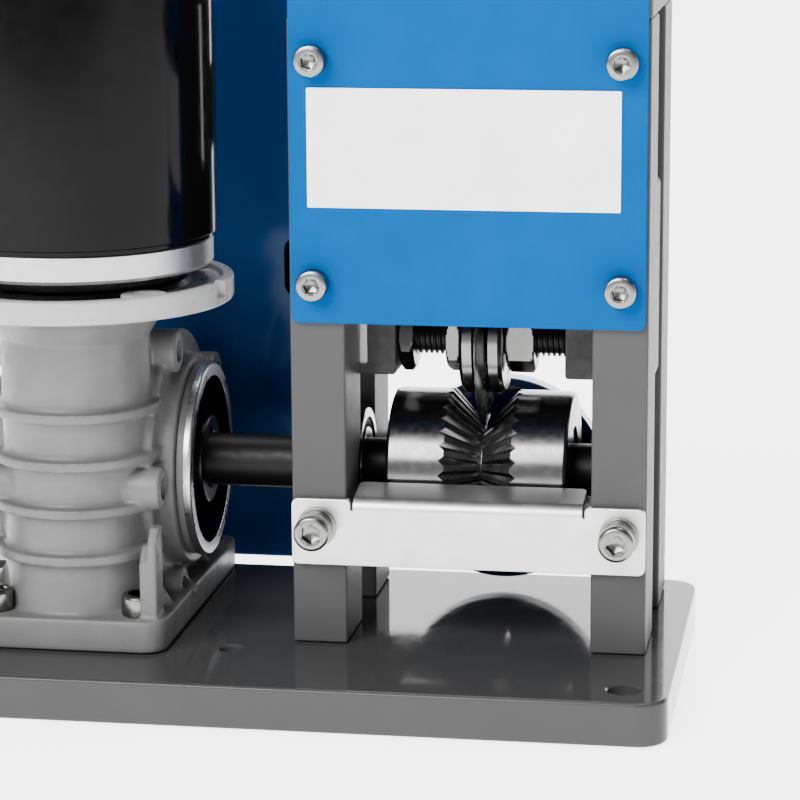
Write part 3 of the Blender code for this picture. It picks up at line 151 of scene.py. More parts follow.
class StripperColours(bpy.types.PropertyGroup):
    """Paint and surface colours of the machine"""

    cover_blue: FloatVectorProperty(
        name="Cover blue", description="Powder coat of the sheet cover", subtype="COLOR",
        default=(0.0, 0.058, 0.205), min=0, max=1)
    housing_blue: FloatVectorProperty(
        name="Housing blue", description="Gloss coat of the electrics housing", subtype="COLOR",
        default=(0.0008, 0.044, 0.165), min=0, max=1)
    turret_blue: FloatVectorProperty(
        name="Turret blue", description="Coat of the guide turret", subtype="COLOR",
        default=(0.0015, 0.014, 0.065), min=0, max=1)
    post_grey: FloatVectorProperty(
        name="Post grey", description="Paint of the frame's posts", subtype="COLOR",
        default=(0.052, 0.052, 0.052), min=0, max=1)
    base_grey: FloatVectorProperty(
        name="Base grey", description="Gloss paint of the base plate", subtype="COLOR",
        default=(0.035, 0.035, 0.035), min=0, max=1)
    cast_grey: FloatVectorProperty(
        name="Casting grey", description="Paint of the gear unit", subtype="COLOR",
        default=(0.11, 0.11, 0.109), min=0, max=1)
    label_white: FloatVectorProperty(
        name="Label white", description="Blank plate on the cover", subtype="COLOR",
        default=(0.90, 0.90, 0.90), min=0, max=1)


class StripperSizes(bpy.types.PropertyGroup):
    """Sizes of the details that dress the machine"""

    rod_pitch: FloatProperty(
        name="Rod thread pitch", description="Pitch of the blade rod's thread", subtype="DISTANCE",
        unit="LENGTH", default=0.0015, min=0.0005)
    lift_pitch: FloatProperty(
        name="Lift thread pitch", description="Rise of the lift screw in one turn", subtype="DISTANCE",
        unit="LENGTH", default=0.003, min=0.001)
    edge_round: FloatProperty(
        name="Edge rounding", description="Rounding of painted bar edges", subtype="DISTANCE",
        unit="LENGTH", default=0.0007, min=0.0001)
    sheet_edge: FloatProperty(
        name="Sheet edge", description="Rounding of sheet metal edges", subtype="DISTANCE", unit="LENGTH",
        default=0.0003, min=0.00005)
    label_height: FloatProperty(
        name="Label height", description="Height of the blank plate on the cover", subtype="DISTANCE",
        unit="LENGTH", default=0.032, min=0.005)
    label_thickness: FloatProperty(
        name="Label thickness", description="Thickness of the blank plate", subtype="DISTANCE",
        unit="LENGTH", default=0.0003, min=0.0001)
    roller_teeth: IntProperty(name="Roller teeth", description="Teeth on each flank of the groove",
                              default=33, min=8)
    tooth_depth: FloatProperty(
        name="Tooth depth", description="Depth of the roller's teeth, across the flank", subtype="DISTANCE",
        unit="LENGTH", default=0.0015, min=0.0005)


class StripperView(bpy.types.PropertyGroup):
    """Where the camera stands and how strong the studio light is"""

    azimuth: FloatProperty(name="Azimuth", description="Camera's turn to the right of the front",
                           subtype="ANGLE", default=math.radians(9.33))
    elevation: FloatProperty(name="Elevation", description="Camera's height above the horizon",
                             subtype="ANGLE", default=math.radians(12.08))
    roll: FloatProperty(name="Roll", description="Camera's turn about its own axis", subtype="ANGLE",
                        default=math.radians(-0.33))
    distance: FloatProperty(name="Distance", description="Camera's distance from its target",
                            subtype="DISTANCE", unit="LENGTH", default=0.81036)
    focal: FloatProperty(name="Focal length",
                         description="Focal length on a 36 mm wide sensor, in millimetres", default=135.0,
                         min=10.0)
    target: FloatVectorProperty(name="Target", description="Point in the middle of the picture",
                                subtype="TRANSLATION", unit="LENGTH", default=(-0.01845, 0.0, 0.08136))
    key_power: FloatProperty(name="Key light", description="Power of the large front light, in watts",
                             default=52.0, min=0.0)
    fill_power: FloatProperty(name="Fill light", description="Power of the right fill light, in watts",
                              default=1.0, min=0.0)
    top_power: FloatProperty(name="Top light", description="Power of the light overhead, in watts",
                             default=15.0, min=0.0)
    sky: FloatProperty(name="Surrounding light", description="Strength of the pale surroundings",
                       default=1.0, min=0.0)
    floor_glow: FloatProperty(name="Floor glow", description="Light that the pale sweep adds by itself",
                              default=3.6, min=0.0)


# shapes


def fillet(corners, steps=6):
    """An outline from (u, v, radius) corners, each rounded with an arc of that radius."""
    outline = []
    count = len(corners)
    for i, (u, v, radius) in enumerate(corners):
        if not radius:
            outline.append((u, v))
            continue
        here = Vector((u, v))
        before = (Vector(corners[i - 1][:2]) - here).normalized()
        after = (Vector(corners[(i + 1) % count][:2]) - here).normalized()
        half = before.angle(after) / 2
        reach = radius / math.tan(half)
        centre = here + (before + after).normalized() * radius / math.sin(half)
        first = here + before * reach - centre
        sweep = first.angle_signed(here + after * reach - centre)
        for k in range(steps + 1):
            spoke = first.copy()
            spoke.rotate(Matrix.Rotation(-sweep * k / steps, 2))
            outline.append(tuple(centre + spoke))
    return outline


def corners_of(left, right, low, high, radius=0.0):
    """Corners of a box for fillet, all with one radius."""
    return [(left, low, radius), (right, low, radius), (right, high, radius), (left, high, radius)]


def corners_flat(left, right, low, high):
    """Corners of a box with sharp corners."""
    return [(left, low), (right, low), (right, high), (left, high)]


def prism(outline, axis, start, end):
    """A closed outline extruded from start to end along an axis."""
    bm = bmesh.new()
    face = bm.faces.new([bm.verts.new(SPREAD[axis](u, v, start)) for u, v in outline])
    raised = bmesh.ops.extrude_face_region(bm, geom=[face], use_keep_orig=True)["geom"]
    moved = [g for g in raised if isinstance(g, bmesh.types.BMVert)]
    bmesh.ops.translate(bm, verts=moved, vec=SPREAD[axis](0.0, 0.0, end - start))
    bmesh.ops.recalc_face_normals(bm, faces=bm.faces)
    return bm


def soften(bm, width, segments=3, angle=SHARP):
    """Rounds every edge that is sharper than an angle."""
    sharp = [e for e in bm.edges if e.is_manifold and e.calc_face_angle() > angle]
    bmesh.ops.bevel(bm, geom=sharp, offset=width, offset_type="OFFSET", segments=segments, profile=0.5,
                    affect="EDGES", clamp_overlap=True, material=-1)
    return bm


def slab(outline, axis, start, end, edge=0.0, segments=3):
    """A prism with rounded edges."""
    bm = prism(outline, axis, start, end)
    return soften(bm, edge, segments) if edge else bm


def panel(low, high, axis, radius, edge, steps=8, segments=3):
    """A plate that fills a box, with its outline's corners rounded across an axis."""
    u, v = (i for i in range(3) if i != "XYZ".index(axis))
    w = "XYZ".index(axis)
    outline = fillet(corners_of(low[u], high[u], low[v], high[v], radius), steps)
    return slab(outline, axis, low[w], high[w], edge, segments)


def lathe(outline, axis, centre, steps=ROUND):
    """A closed body turned about an axis through centre from (radius, along) points."""
    bm = bmesh.new()
    verts = [bm.verts.new((radius, 0.0, along)) for radius, along in outline]
    edges = [bm.edges.new((verts[i - 1], verts[i])) for i in range(len(verts))
             if outline[i - 1][0] or outline[i][0]]
    bmesh.ops.spin(bm, geom=verts + edges, cent=(0, 0, 0), axis=(0, 0, 1), angle=2 * math.pi, steps=steps,
                   use_merge=True)
    bmesh.ops.remove_doubles(bm, verts=[v for v in bm.verts if v.co.xy.length < TINY], dist=TINY)
    bmesh.ops.transform(bm, matrix=Matrix.Translation(centre) @ TURN[axis], verts=bm.verts)
    bmesh.ops.recalc_face_normals(bm, faces=bm.faces)
    return bm


def plug(radius, start, end, axis, centre, steps=ROUND):
    """A plain cylinder from start to end along an axis."""
    return lathe([(0.0, start), (radius, start), (radius, end), (0.0, end)], axis, centre, steps)


def tube(outer, inner, start, end, edge):
    """Half section of a ring or disc with rounded rims."""
    inner_edge = edge if inner else 0.0
    rims = [(inner, start, inner_edge), (outer, start, edge), (outer, end, edge), (inner, end, inner_edge)]
    return fillet(rims, 3)


def circle(radius, along, count=RING):
    """Points of a circle at even angles."""
    angles = [2 * math.pi * k / count for k in range(count)]
    return [(radius * math.cos(angle), radius * math.sin(angle), along) for angle in angles]


def hexagon(across, along, limit=None):
    """Points of a hexagon at even angles, kept inside a circle where a limit is given."""
    points = []
    for k in range(RING):
        angle = 2 * math.pi * k / RING
        radius = across / 2 / math.cos((angle + math.pi / 6) % (math.pi / 3) - math.pi / 6)
        radius = min(radius, limit) if limit else radius
        points.append((radius * math.cos(angle), radius * math.sin(angle), along))
    return points


def loft(rings, closed=False):
    """A body bridged through rings of points, with its ends filled or joined to each other."""
    bm = bmesh.new()
    sets = [[bm.verts.new(p) for p in ring] for ring in rings]
    loops = [[bm.edges.new((ring[i - 1], ring[i])) for i in range(len(ring))] for ring in sets]
    pairs = list(zip(loops, loops[1:])) + ([(loops[-1], loops[0])] if closed else [])
    for near, far in pairs:
        bmesh.ops.bridge_loops(bm, edges=near + far)
    if not closed:
        bm.faces.new(sets[0])
        bm.faces.new(sets[-1])
    bmesh.ops.recalc_face_normals(bm, faces=bm.faces)
    return bm


def face_along(bm, out, seat):
    """Turns a body drawn along +Z to point along out, standing at seat."""
    turn = Vector((0, 0, 1)).rotation_difference(Vector(out)).to_matrix().to_4x4()
    bmesh.ops.transform(bm, matrix=Matrix.Translation(seat) @ turn, verts=bm.verts)
    return bm


def spun(bm, angle, move=(0, 0, 0)):
    """Turns a body about the Z axis and then moves it."""
    bmesh.ops.rotate(bm, verts=bm.verts, cent=(0, 0, 0), matrix=Matrix.Rotation(angle, 3, "Z"))
    bmesh.ops.translate(bm, verts=bm.verts, vec=move)
    return bm


def threaded(radius, depth, pitch, start, end, axis, centre, steps=40, flat=0.16):
    """A screw thread cut square at both ends."""
    bm = bmesh.new()
    turns = math.ceil((end - start) / pitch) + 3
    shape = ((radius - depth, 0.0), (radius - depth, flat), (radius, 0.5 - flat / 2),
             (radius, 0.5 + flat / 2), (radius - depth, 1.0 - flat))
    points = [(r, start + pitch * (k - 2 + share)) for k in range(turns) for r, share in shape]
    verts = [bm.verts.new((r, 0.0, z)) for r, z in points]
    edges = [bm.edges.new(pair) for pair in zip(verts, verts[1:])]
    bmesh.ops.spin(bm, geom=verts + edges, cent=(0, 0, 0), axis=(0, 0, 1), dvec=(0, 0, pitch / steps),
                   angle=2 * math.pi, steps=steps, use_merge=False)
    bmesh.ops.remove_doubles(bm, verts=bm.verts, dist=0.002 * MM)
    for along, way in ((start, -1), (end, 1)):
        geom = bm.verts[:] + bm.edges[:] + bm.faces[:]
        cut = bmesh.ops.bisect_plane(bm, geom=geom, dist=TINY, plane_co=(0, 0, along), plane_no=(0, 0, way),
                                     clear_outer=True)
        bmesh.ops.edgenet_fill(bm, edges=[e for e in cut["geom_cut"] if isinstance(e, bmesh.types.BMEdge)])
    bmesh.ops.transform(bm, matrix=Matrix.Translation(centre) @ TURN[axis], verts=bm.verts)
    bmesh.ops.recalc_face_normals(bm, faces=bm.faces)
    return bm


def join(*bodies):
    """Puts several bodies into the first one."""
    first = bodies[0]
    for other in bodies[1:]:
        store = bpy.data.meshes.new("joined")
        other.to_mesh(store)
        other.free()
        first.from_mesh(store)
        bpy.data.meshes.remove(store)
    return first


def loose(bm):
    """A bare object made from a body, for its modifiers to work on."""
    mesh = bpy.data.meshes.new("loose")
    bm.to_mesh(mesh)
    bm.free()
    obj = bpy.data.objects.new("loose", mesh)
    bpy.context.scene.collection.objects.link(obj)
    return obj


def worked(obj, helpers=()):
    """The shape of an object after its modifiers; the object and its helpers are removed."""
    bpy.context.view_layer.update()
    seen = obj.evaluated_get(bpy.context.evaluated_depsgraph_get())
    bm = bmesh.new()
    bm.from_mesh(seen.to_mesh())
    seen.to_mesh_clear()
    for gone in (obj, *helpers):
        mesh = gone.data
        bpy.data.objects.remove(gone)
        bpy.data.meshes.remove(mesh)
    return bm


def cut(bm, *tools, operation="DIFFERENCE", solver="EXACT"):
    """The shape after a Boolean with each tool in turn."""
    target = loose(bm)
    helpers = [loose(tool) for tool in tools]
    for helper in helpers:
        modifier = target.modifiers.new("cut", "BOOLEAN")
        modifier.operation = operation
        modifier.solver = solver
        modifier.object = helper
    return worked(target, helpers)


def tint(bm, choose):
    """Gives each face the finish whose number choose returns for the middle of the face."""
    for face in bm.faces:
        face.material_index = int(choose(face.calc_center_median()))


def finish_piece(name, bm, finishes, body, slot, *nodes, sharp=SHARP, weighted=True):
    """Makes a body a shaded, finished object that rides on a body and stands for its nodes."""
    mesh = bpy.data.meshes.new(name)
    bm.to_mesh(mesh)
    bm.free()
    for made in finishes if isinstance(finishes, (list, tuple)) else (finishes,):
        mesh.materials.append(made)
    mesh.shade_smooth()
    mesh.set_sharp_from_angle(angle=sharp)
    obj = bpy.data.objects.new(name, mesh)
    bpy.context.scene.collection.objects.link(obj)
    if weighted:
        normals = obj.modifiers.new("normals", "WEIGHTED_NORMAL")
        normals.keep_sharp = True
    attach(obj, body)
    if nodes:
        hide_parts(*nodes)
    return obj


# finishes


class Finish:
    """A Principled material and the small node chains that give it grain, bumps and variation."""

    def __init__(self, name, colour, roughness, metallic=0.0, **sockets):
        self.material = bpy.data.materials.new(name)
        self.material.use_nodes = True
        self.nodes = self.material.node_tree.nodes
        self.links = self.material.node_tree.links
        self.shader = self.nodes["Principled BSDF"]
        self.colour = colour
        self.roughness = roughness
        self.shader.inputs["Base Color"].default_value = (*colour, 1.0)
        self.shader.inputs["Roughness"].default_value = roughness
        self.shader.inputs["Metallic"].default_value = metallic
        for socket, value in sockets.items():
            self.shader.inputs[socket.replace("_", " ").title().replace("Ior", "IOR")].default_value = value
        self.coordinates = self.nodes.new("ShaderNodeTexCoord")

    def point(self, scale=(1, 1, 1), move=(0, 0, 0)):
        """Object coordinates, stretched and moved."""
        mapping = self.nodes.new("ShaderNodeMapping")
        mapping.inputs["Scale"].default_value = scale
        mapping.inputs["Location"].default_value = move
        self.links.new(self.coordinates.outputs["Object"], mapping.inputs["Vector"])
        return mapping.outputs["Vector"]

    def noise(self, scale, detail=3.0, rough=0.55, stretch=(1, 1, 1)):
        """Cloudy noise over stretched coordinates."""
        node = self.nodes.new("ShaderNodeTexNoise")
        node.inputs["Scale"].default_value = scale
        node.inputs["Detail"].default_value = detail
        node.inputs["Roughness"].default_value = rough
        self.links.new(self.point(stretch), node.inputs["Vector"])
        return node.outputs["Fac"]

    def speckle(self, scale, stretch=(1, 1, 1)):
        """Scattered pits over stretched coordinates."""
        node = self.nodes.new("ShaderNodeTexVoronoi")
        node.inputs["Scale"].default_value = scale
        self.links.new(self.point(stretch), node.inputs["Vector"])
        return node.outputs["Distance"]

    def rings(self, axis, centre, scale, detail=2.0):
        """Noise that only depends on the distance from an axis, as a lathe leaves it on a face."""
        keep = tuple(0.0 if axis == name else 1.0 for name in "XYZ")
        place = tuple(-keep[i] * centre[i] for i in range(3))
        length = self.nodes.new("ShaderNodeVectorMath")
        length.operation = "LENGTH"
        self.links.new(self.point(keep, place), length.inputs[0])
        node = self.nodes.new("ShaderNodeTexNoise")
        node.noise_dimensions = "1D"
        node.inputs["Scale"].default_value = scale
        node.inputs["Detail"].default_value = detail
        self.links.new(length.outputs["Value"], node.inputs["W"])
        return node.outputs["Fac"]

    def mapped(self, value, low, high, start=0.3, end=0.7):
        """Brings a value from start..end to low..high."""
        node = self.nodes.new("ShaderNodeMapRange")
        for socket, number in (("From Min", start), ("From Max", end), ("To Min", low), ("To Max", high)):
            node.inputs[socket].default_value = number
        self.links.new(value, node.inputs["Value"])
        return node.outputs["Result"]

    def vary_roughness(self, value, low, high, start=0.3, end=0.7):
        """Lets the roughness wander from low to high."""
        self.links.new(self.mapped(value, low, high, start, end), self.shader.inputs["Roughness"])
        return self

    def vary_colour(self, value, other, start=0.3, end=0.7):
        """Fades from the base colour to another one."""
        ramp = self.nodes.new("ShaderNodeValToRGB")
        ramp.color_ramp.elements[0].position = start
        ramp.color_ramp.elements[0].color = (*self.colour, 1.0)
        ramp.color_ramp.elements[1].position = end
        ramp.color_ramp.elements[1].color = (*other, 1.0)
        self.links.new(value, ramp.inputs["Fac"])
        self.links.new(ramp.outputs["Color"], self.shader.inputs["Base Color"])
        return self

    def bump(self, *layers):
        """Adds (height, strength, distance) layers of fine relief."""
        normal = None
        for height, strength, distance in layers:
            node = self.nodes.new("ShaderNodeBump")
            node.inputs["Strength"].default_value = strength
            node.inputs["Distance"].default_value = distance
            self.links.new(height, node.inputs["Height"])
            if normal:
                self.links.new(normal, node.inputs["Normal"])
            normal = node.outputs["Normal"]
        self.links.new(normal, self.shader.inputs["Normal"])
        return self


def scaled(colour, share):
    """A lighter or darker shade of a colour."""
    return tuple(min(1.0, c * share) for c in colour)


FINISHES = {}


def powder_coat(name, colour, roughness, shine=0.5, gloss=0.0, peel=0.10):
    """Sprayed coat with a faint orange peel and slow changes of shade."""
    made = Finish(name, tuple(colour), roughness, specular_ior_level=shine, coat_weight=gloss,
                  coat_roughness=0.06)
    made.vary_colour(made.noise(60, 3), scaled(colour, 0.93))
    made.vary_roughness(made.noise(210, 4), roughness - 0.03, roughness + 0.04)
    made.bump((made.noise(260, 2), peel, 0.03 * MM), (made.noise(1500, 2), peel / 2, 0.01 * MM))
    return made.material


def drawn_metal(name, colour, roughness, stretch, depth=0.12, blotch=0.06):
    """Bare metal with fine lines along one direction and a slow mottle."""
    made = Finish(name, tuple(colour), roughness, 1.0)
    lines = made.noise(420, 4, 0.6, stretch)
    made.vary_roughness(made.noise(130, 4), roughness - blotch, roughness + blotch)
    made.vary_colour(made.noise(90, 5, 0.6), scaled(colour, 0.86))
    made.bump((lines, depth, 0.02 * MM), (made.noise(1500, 3), depth / 2, 0.01 * MM))
    return made.material


def turned_metal(name, colour, roughness, axis, centre, depth=0.06, grain=0.0):
    """Lathe-turned metal: rings on the faces, lines round the outside."""
    made = Finish(name, tuple(colour), roughness, 1.0)
    along = tuple(1.0 if axis == name_ else 0.02 for name_ in "XYZ")
    face = made.rings(axis, centre, 1600)
    side = made.noise(1500, 2, 0.5, along)
    made.vary_colour(made.noise(160, 4, 0.6), scaled(colour, 0.82))
    made.vary_roughness(made.noise(500, 3), roughness - 0.03, roughness + 0.05)
    layers = [(face, depth, 0.01 * MM), (side, depth, 0.01 * MM)]
    if grain:
        layers.append((made.noise(1800, 3, 0.7), grain, 0.02 * MM))
    made.bump(*layers)
    return made.material


def oxide(name, colour, roughness, metallic=0.5, depth=0.12):
    """Dark oiled or blackened steel."""
    made = Finish(name, tuple(colour), roughness, metallic, specular_ior_level=0.2)
    made.vary_colour(made.noise(240, 5, 0.65), scaled(colour, 1.7))
    made.vary_roughness(made.noise(500, 4), roughness - 0.08, roughness + 0.10)
    made.bump((made.noise(1200, 4, 0.6), depth, 0.02 * MM))
    return made.material


def cast_paint(name, colour, roughness):
    """Painted sand casting: coarse skin, pits and a random darker mottle."""
    made = Finish(name, tuple(colour), roughness, specular_ior_level=0.3)
    made.vary_colour(made.noise(70, 6, 0.65), scaled(colour, 0.72), 0.35, 0.75)
    made.vary_roughness(made.noise(300, 4), roughness - 0.08, roughness + 0.12)
    made.bump((made.noise(650, 4, 0.6), 0.35, 0.08 * MM), (made.speckle(900), 0.12, 0.04 * MM))
    return made.material


def moulded(name, colour, roughness, grain=0.10, shine=0.12):
    """Moulded plastic or rubber with a fine grain."""
    made = Finish(name, tuple(colour), roughness, specular_ior_level=shine)
    made.vary_colour(made.noise(120, 3), scaled(colour, 1.35))
    made.vary_roughness(made.noise(400, 3), roughness - 0.05, roughness + 0.08)
    made.bump((made.noise(2200, 2), grain, 0.05 * MM))
    return made.material


def mix_finishes(context):
    """Fills FINISHES with every material of the machine."""
    colours = context.scene.stripper_colours
    FINISHES.update({
        "cover": powder_coat("cover_blue_coat", colours.cover_blue, 0.45, 0.0, 0.0, 0.05),
        "housing": powder_coat("housing_blue_gloss", colours.housing_blue, 0.12, 0.08, 0.0, 0.25),
        "turret": powder_coat("turret_blue_gloss", colours.turret_blue, 0.12, 0.5, 0.3, 0.04),
        "post": powder_coat("post_grey_paint", colours.post_grey, 0.42, 0.05, 0.0, 0.05),
        "base": powder_coat("base_grey_gloss", colours.base_grey, 0.08, 0.15, 0.0, 0.30),
        "label": powder_coat("label_white_satin", colours.label_white, 0.45, 0.3, 0.0, 0.03),
        "motor": powder_coat("motor_black_gloss", (0.0008, 0.0008, 0.0009), 0.12, 0.09, 0.0, 0.04),
        "casting": cast_paint("gear_unit_paint", colours.cast_grey, 0.40),
        "sheet": drawn_metal("bright_zinc_sheet", (0.62, 0.62, 0.615), 0.40, (0.05, 1, 1), 0.08),
        "plate": drawn_metal("zinc_guide_plate", (0.30, 0.30, 0.29), 0.30, (0.05, 1, 1), 0.08),
        "zinc": drawn_metal("zinc_screw", (0.19, 0.19, 0.185), 0.26, (1, 1, 1), 0.10),
        "nut": drawn_metal("zinc_nut", (0.12, 0.12, 0.118), 0.24, (1, 1, 1), 0.12),
        "roller": turned_metal("ground_roller_steel", (0.13, 0.13, 0.129), 0.20, "X", SHAFT, 0.03, 0.04),
        # partly painted shade: darker tooth steel for the rising flank and land of each roller tooth, the
        # teeth's own darker tone deepened to stand in for the shade on that side
        "teeth": oxide("tooth_steel_with_painted_shade", (0.070, 0.070, 0.070), 0.30, 0.95, 0.08),
        "blade": turned_metal("ground_blade_steel", (0.055, 0.055, 0.055), 0.24, "X", STACK, 0.05),
        "flange": turned_metal("turned_flange_steel", (0.17, 0.17, 0.168), 0.20, "X", STACK, 0.05),
        "shaft": oxide("black_oxide_shaft", (0.001, 0.001, 0.001), 0.44, 0.0),
        "rod": oxide("black_oxide_thread", (0.008, 0.008, 0.008), 0.38, 0.6),
        "yoke": oxide("dark_milled_steel", (0.019, 0.019, 0.019), 0.45, 0.5, 0.14),
        "milled": drawn_metal("bright_milled_groove", (0.50, 0.50, 0.49), 0.42, (1, 1, 0.1), 0.40, 0.10),
        "bearing": turned_metal("bearing_steel", (0.26, 0.26, 0.255), 0.18, "X", SHAFT, 0.04),
        "shield": moulded("bearing_shield", (0.006, 0.006, 0.006), 0.45),
        "seal": moulded("seal_rubber", (0.002, 0.002, 0.002), 0.60, 0.10, 0.0),
        "hub": turned_metal("hub_steel", (0.03, 0.03, 0.03), 0.32, "X", GEAR, 0.02),
        "ring": drawn_metal("machined_ring_aluminium", (0.50, 0.505, 0.51), 0.30, (1, 1, 1), 0.0),
        "bell": turned_metal("machined_bell_aluminium", (0.52, 0.52, 0.52), 0.40, "Z", WORM, 0.03, 0.03),
        "input": cast_paint("input_flange_paint", (0.32, 0.32, 0.317), 0.32),
        "screw": turned_metal("lift_screw_steel", (0.26, 0.26, 0.255), 0.26, "Z", KNOB, 0.05),
        # painted shade: a near-black steel finish laid on the narrow neck under the end bell and on the
        # recessed top of the input flange, standing in for the shade in the gap between them
        "dark": oxide("neck_and_recess_painted_shade", (0.012, 0.012, 0.012), 0.30, 0.8, 0.05),
        "knob": moulded("knob_plastic", (0.004, 0.004, 0.004), 0.34, 0.12),
        "switch": moulded("switch_plastic", (0.003, 0.003, 0.003), 0.28, 0.06),
    })


def cap_screw(head_radius, head_height, shank_radius, grip, across):
    """Knurled socket cap screw, its seat at zero and its head along +Z."""
    chamfer = 0.12 * head_height
    depth = 0.55 * head_height
    rough = 0.07 * MM + 0.012 * head_radius

    def knurl(along):
        shares = (1.0, 1 - rough / head_radius)
        return [(x * shares[k % 2], y * shares[k % 2], z)
                for k, (x, y, z) in enumerate(circle(head_radius, along))]

    mouth = across / math.sqrt(3) * 1.10
    rings = [
        circle(shank_radius * 0.8, -grip), circle(shank_radius, 0.4 * MM - grip), circle(shank_radius, 0.0),
        circle(head_radius - 0.25 * MM, 0.0), circle(head_radius - rough, 0.25 * MM), knurl(0.4 * MM),
        knurl(head_height - chamfer - 0.45 * MM),
        circle(head_radius - rough, head_height - chamfer - 0.2 * MM),
        circle(head_radius - 0.05 * MM, head_height - chamfer),
        circle(head_radius - chamfer * 0.45, head_height - chamfer * 0.4),
        circle(head_radius - chamfer * 1.25, head_height), circle(mouth, head_height),
        circle(mouth * 0.965, head_height - 0.22 * MM), hexagon(across, head_height - 0.30 * MM),
        hexagon(across, head_height - depth), circle(across * 0.30, head_height - depth - 0.5 * MM),
        circle(across * 0.04, head_height - depth - 0.75 * MM),
    ]
    return loft(rings)


def nut(across, height, bore):
    """Hexagon nut with both faces chamfered and its bore countersunk, from zero along +Z."""
    face = across / 2 * 0.985
    rings = []
    for along in (0.0, 0.25, 0.55, 0.9, 1.3):
        rings.append(hexagon(across, along * MM, face + along * MM * 1.55))
    for along in (1.3, 0.9, 0.55, 0.25, 0.0):
        rings.append(hexagon(across, height - along * MM, face + along * MM * 1.55))
    rings += [circle(bore + 0.7 * MM, height), circle(bore, height - 0.7 * MM), circle(bore, 0.7 * MM),
              circle(bore + 0.7 * MM, 0.0)]
    return loft(rings, closed=True)


FRONT, BACK, UP = (0, -1, 0), (0, 1, 0), (0, 0, 1)

# node, outward direction, head height, shank radius, across the socket's flats
CAP_SCREWS = (
    *((f"cover_screw_{k}", FRONT, 5.0, 2.5, 4.0) for k in range(1, 5)),
    *((f"bracket_screw_{side}", FRONT, 6.0, 3.0, 5.0) for side in ("left", "right")),
    *((f"guide_screw_{side}", BACK, 6.0, 3.0, 5.0) for side in ("left", "right")),
    ("turret_bolt", FRONT, 5.0, 4.0, 5.0),
    *((f"top_bolt_{k}", UP, 8.0, 4.0, 6.0) for k in range(1, 5)),
    *((f"gearbox_bolt_{k}", UP, 6.0, 3.0, 5.0) for k in range(1, 5)),
)


class STRIPPER_OT_finishes(bpy.types.Operator):
    """Mixes the paints, metals and plastics that the pieces share"""

    bl_idname = "stripper.finishes"
    bl_label = "Finishes"

    def execute(self, context):
        mix_finishes(context)
        return {"FINISHED"}


class STRIPPER_OT_base_plate(bpy.types.Operator):
    """Builds the glossy base plate with its bench holes and cable hole"""

    bl_idname = "stripper.base_plate"
    bl_label = "Base plate"

    def execute(self, context):
        low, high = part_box("base_plate")
        inset = BENCH_HOLE_INSET
        plate = panel(low, high, "Z", 8 * MM, 1.0 * MM, 10)
        depth = high.z - low.z
        tools = []
        for x, y in ((low.x + inset, low.y + inset), (low.x + inset, high.y - inset),
                     (high.x - inset, low.y + inset)):
            tools.append(countersunk(BENCH_HOLE_RADIUS, depth, Vector((x, y, low.z))))
        tools.append(countersunk(CABLE_HOLE_RADIUS, depth, Vector((*CABLE_HOLE, low.z))))
        bm = cut(plate, *tools)
        finish_piece("glossy_base_plate", bm, FINISHES["base"], "frame", "base_paint", "base_plate")
        return {"FINISHED"}


def countersunk(radius, depth, foot, lip=0.5 * MM):
    """A drill with a small countersink at both faces."""
    over = 1 * MM
    points = [(0.0, -over), (radius + lip + over, -over), (radius, lip), (radius, depth - lip),
              (radius + lip + over, depth + over), (0.0, depth + over)]
    return lathe(points, "Z", foot, 48)


class STRIPPER_OT_frame_bars(bpy.types.Operator):
    """Builds the four posts with their bearing pockets and the top plate"""

    bl_idname = "stripper.frame_bars"
    bl_label = "Posts and top plate"

    def execute(self, context):
        edge = context.scene.stripper_sizes.edge_round
        for row in ("front", "rear"):
            for side, way in (("left", -1), ("right", 1)):
                node = f"{row}_post_{side}"
                low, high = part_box(node)
                bar = panel(low, high, "Z", 0.0, edge)
                inner = high.x if way < 0 else low.x
                start, end = sorted((-way * 4 * MM, way * POCKET_DEPTH))
                pocket = plug(BEARING_RADIUS + FACE_GAP, start, end, "X", (inner, SHAFT.y, SHAFT.z), ROUND)
                bm = cut(bar, pocket)
                finish_piece(f"painted_{node}", bm, FINISHES["post"], "frame", "post_paint", node)
        low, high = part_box("top_plate")
        plate = panel(low, high, "Z", 3 * MM, edge)
        tools = [plug(LIFT_BORE, -MM, 14 * MM, "Z", (KNOB.x, KNOB.y, low.z), 48)]
        for k in range(1, 5):
            seat = middle(f"top_bolt_{k}")
            sink = [(0.0, -MM), (4.3 * MM, -MM), (4.3 * MM, 3.7 * MM), (6.8 * MM, 3.7 * MM),
                    (6.8 * MM, 11.5 * MM), (7.9 * MM, 12.6 * MM), (0.0, 12.6 * MM)]
            tools.append(lathe(sink, "Z", (seat.x, seat.y, low.z), 64))
        bm = cut(plate, *tools)
        finish_piece("painted_top_plate", bm, FINISHES["post"], "frame", "post_paint", "top_plate")
        return {"FINISHED"}


class STRIPPER_OT_cover(bpy.types.Operator):
    """Builds the blue sheet cover and the blank plate on it"""

    bl_idname = "stripper.cover"
    bl_label = "Cover and blank plate"

    def execute(self, context):
        sizes = context.scene.stripper_sizes
        low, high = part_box("front_cover")
        bm = panel(low, high, "Y", 2.2 * MM, sizes.sheet_edge)
        finish_piece("blue_sheet_cover", bm, FINISHES["cover"], "frame", "blue_paint", "front_cover")
        bottom = low.z + LABEL_RISE
        top = bottom + sizes.label_height
        outline = fillet(corners_of(LABEL_LEFT, LABEL_RIGHT, bottom, top, 0.4 * MM), 4)
        label = slab(outline, "Y", low.y - sizes.label_thickness, low.y - 0.02 * MM,
                     sizes.label_thickness / 4, 2)
        finish_piece("blank_plate", label, FINISHES["label"], "frame", "blue_paint")
        return {"FINISHED"}


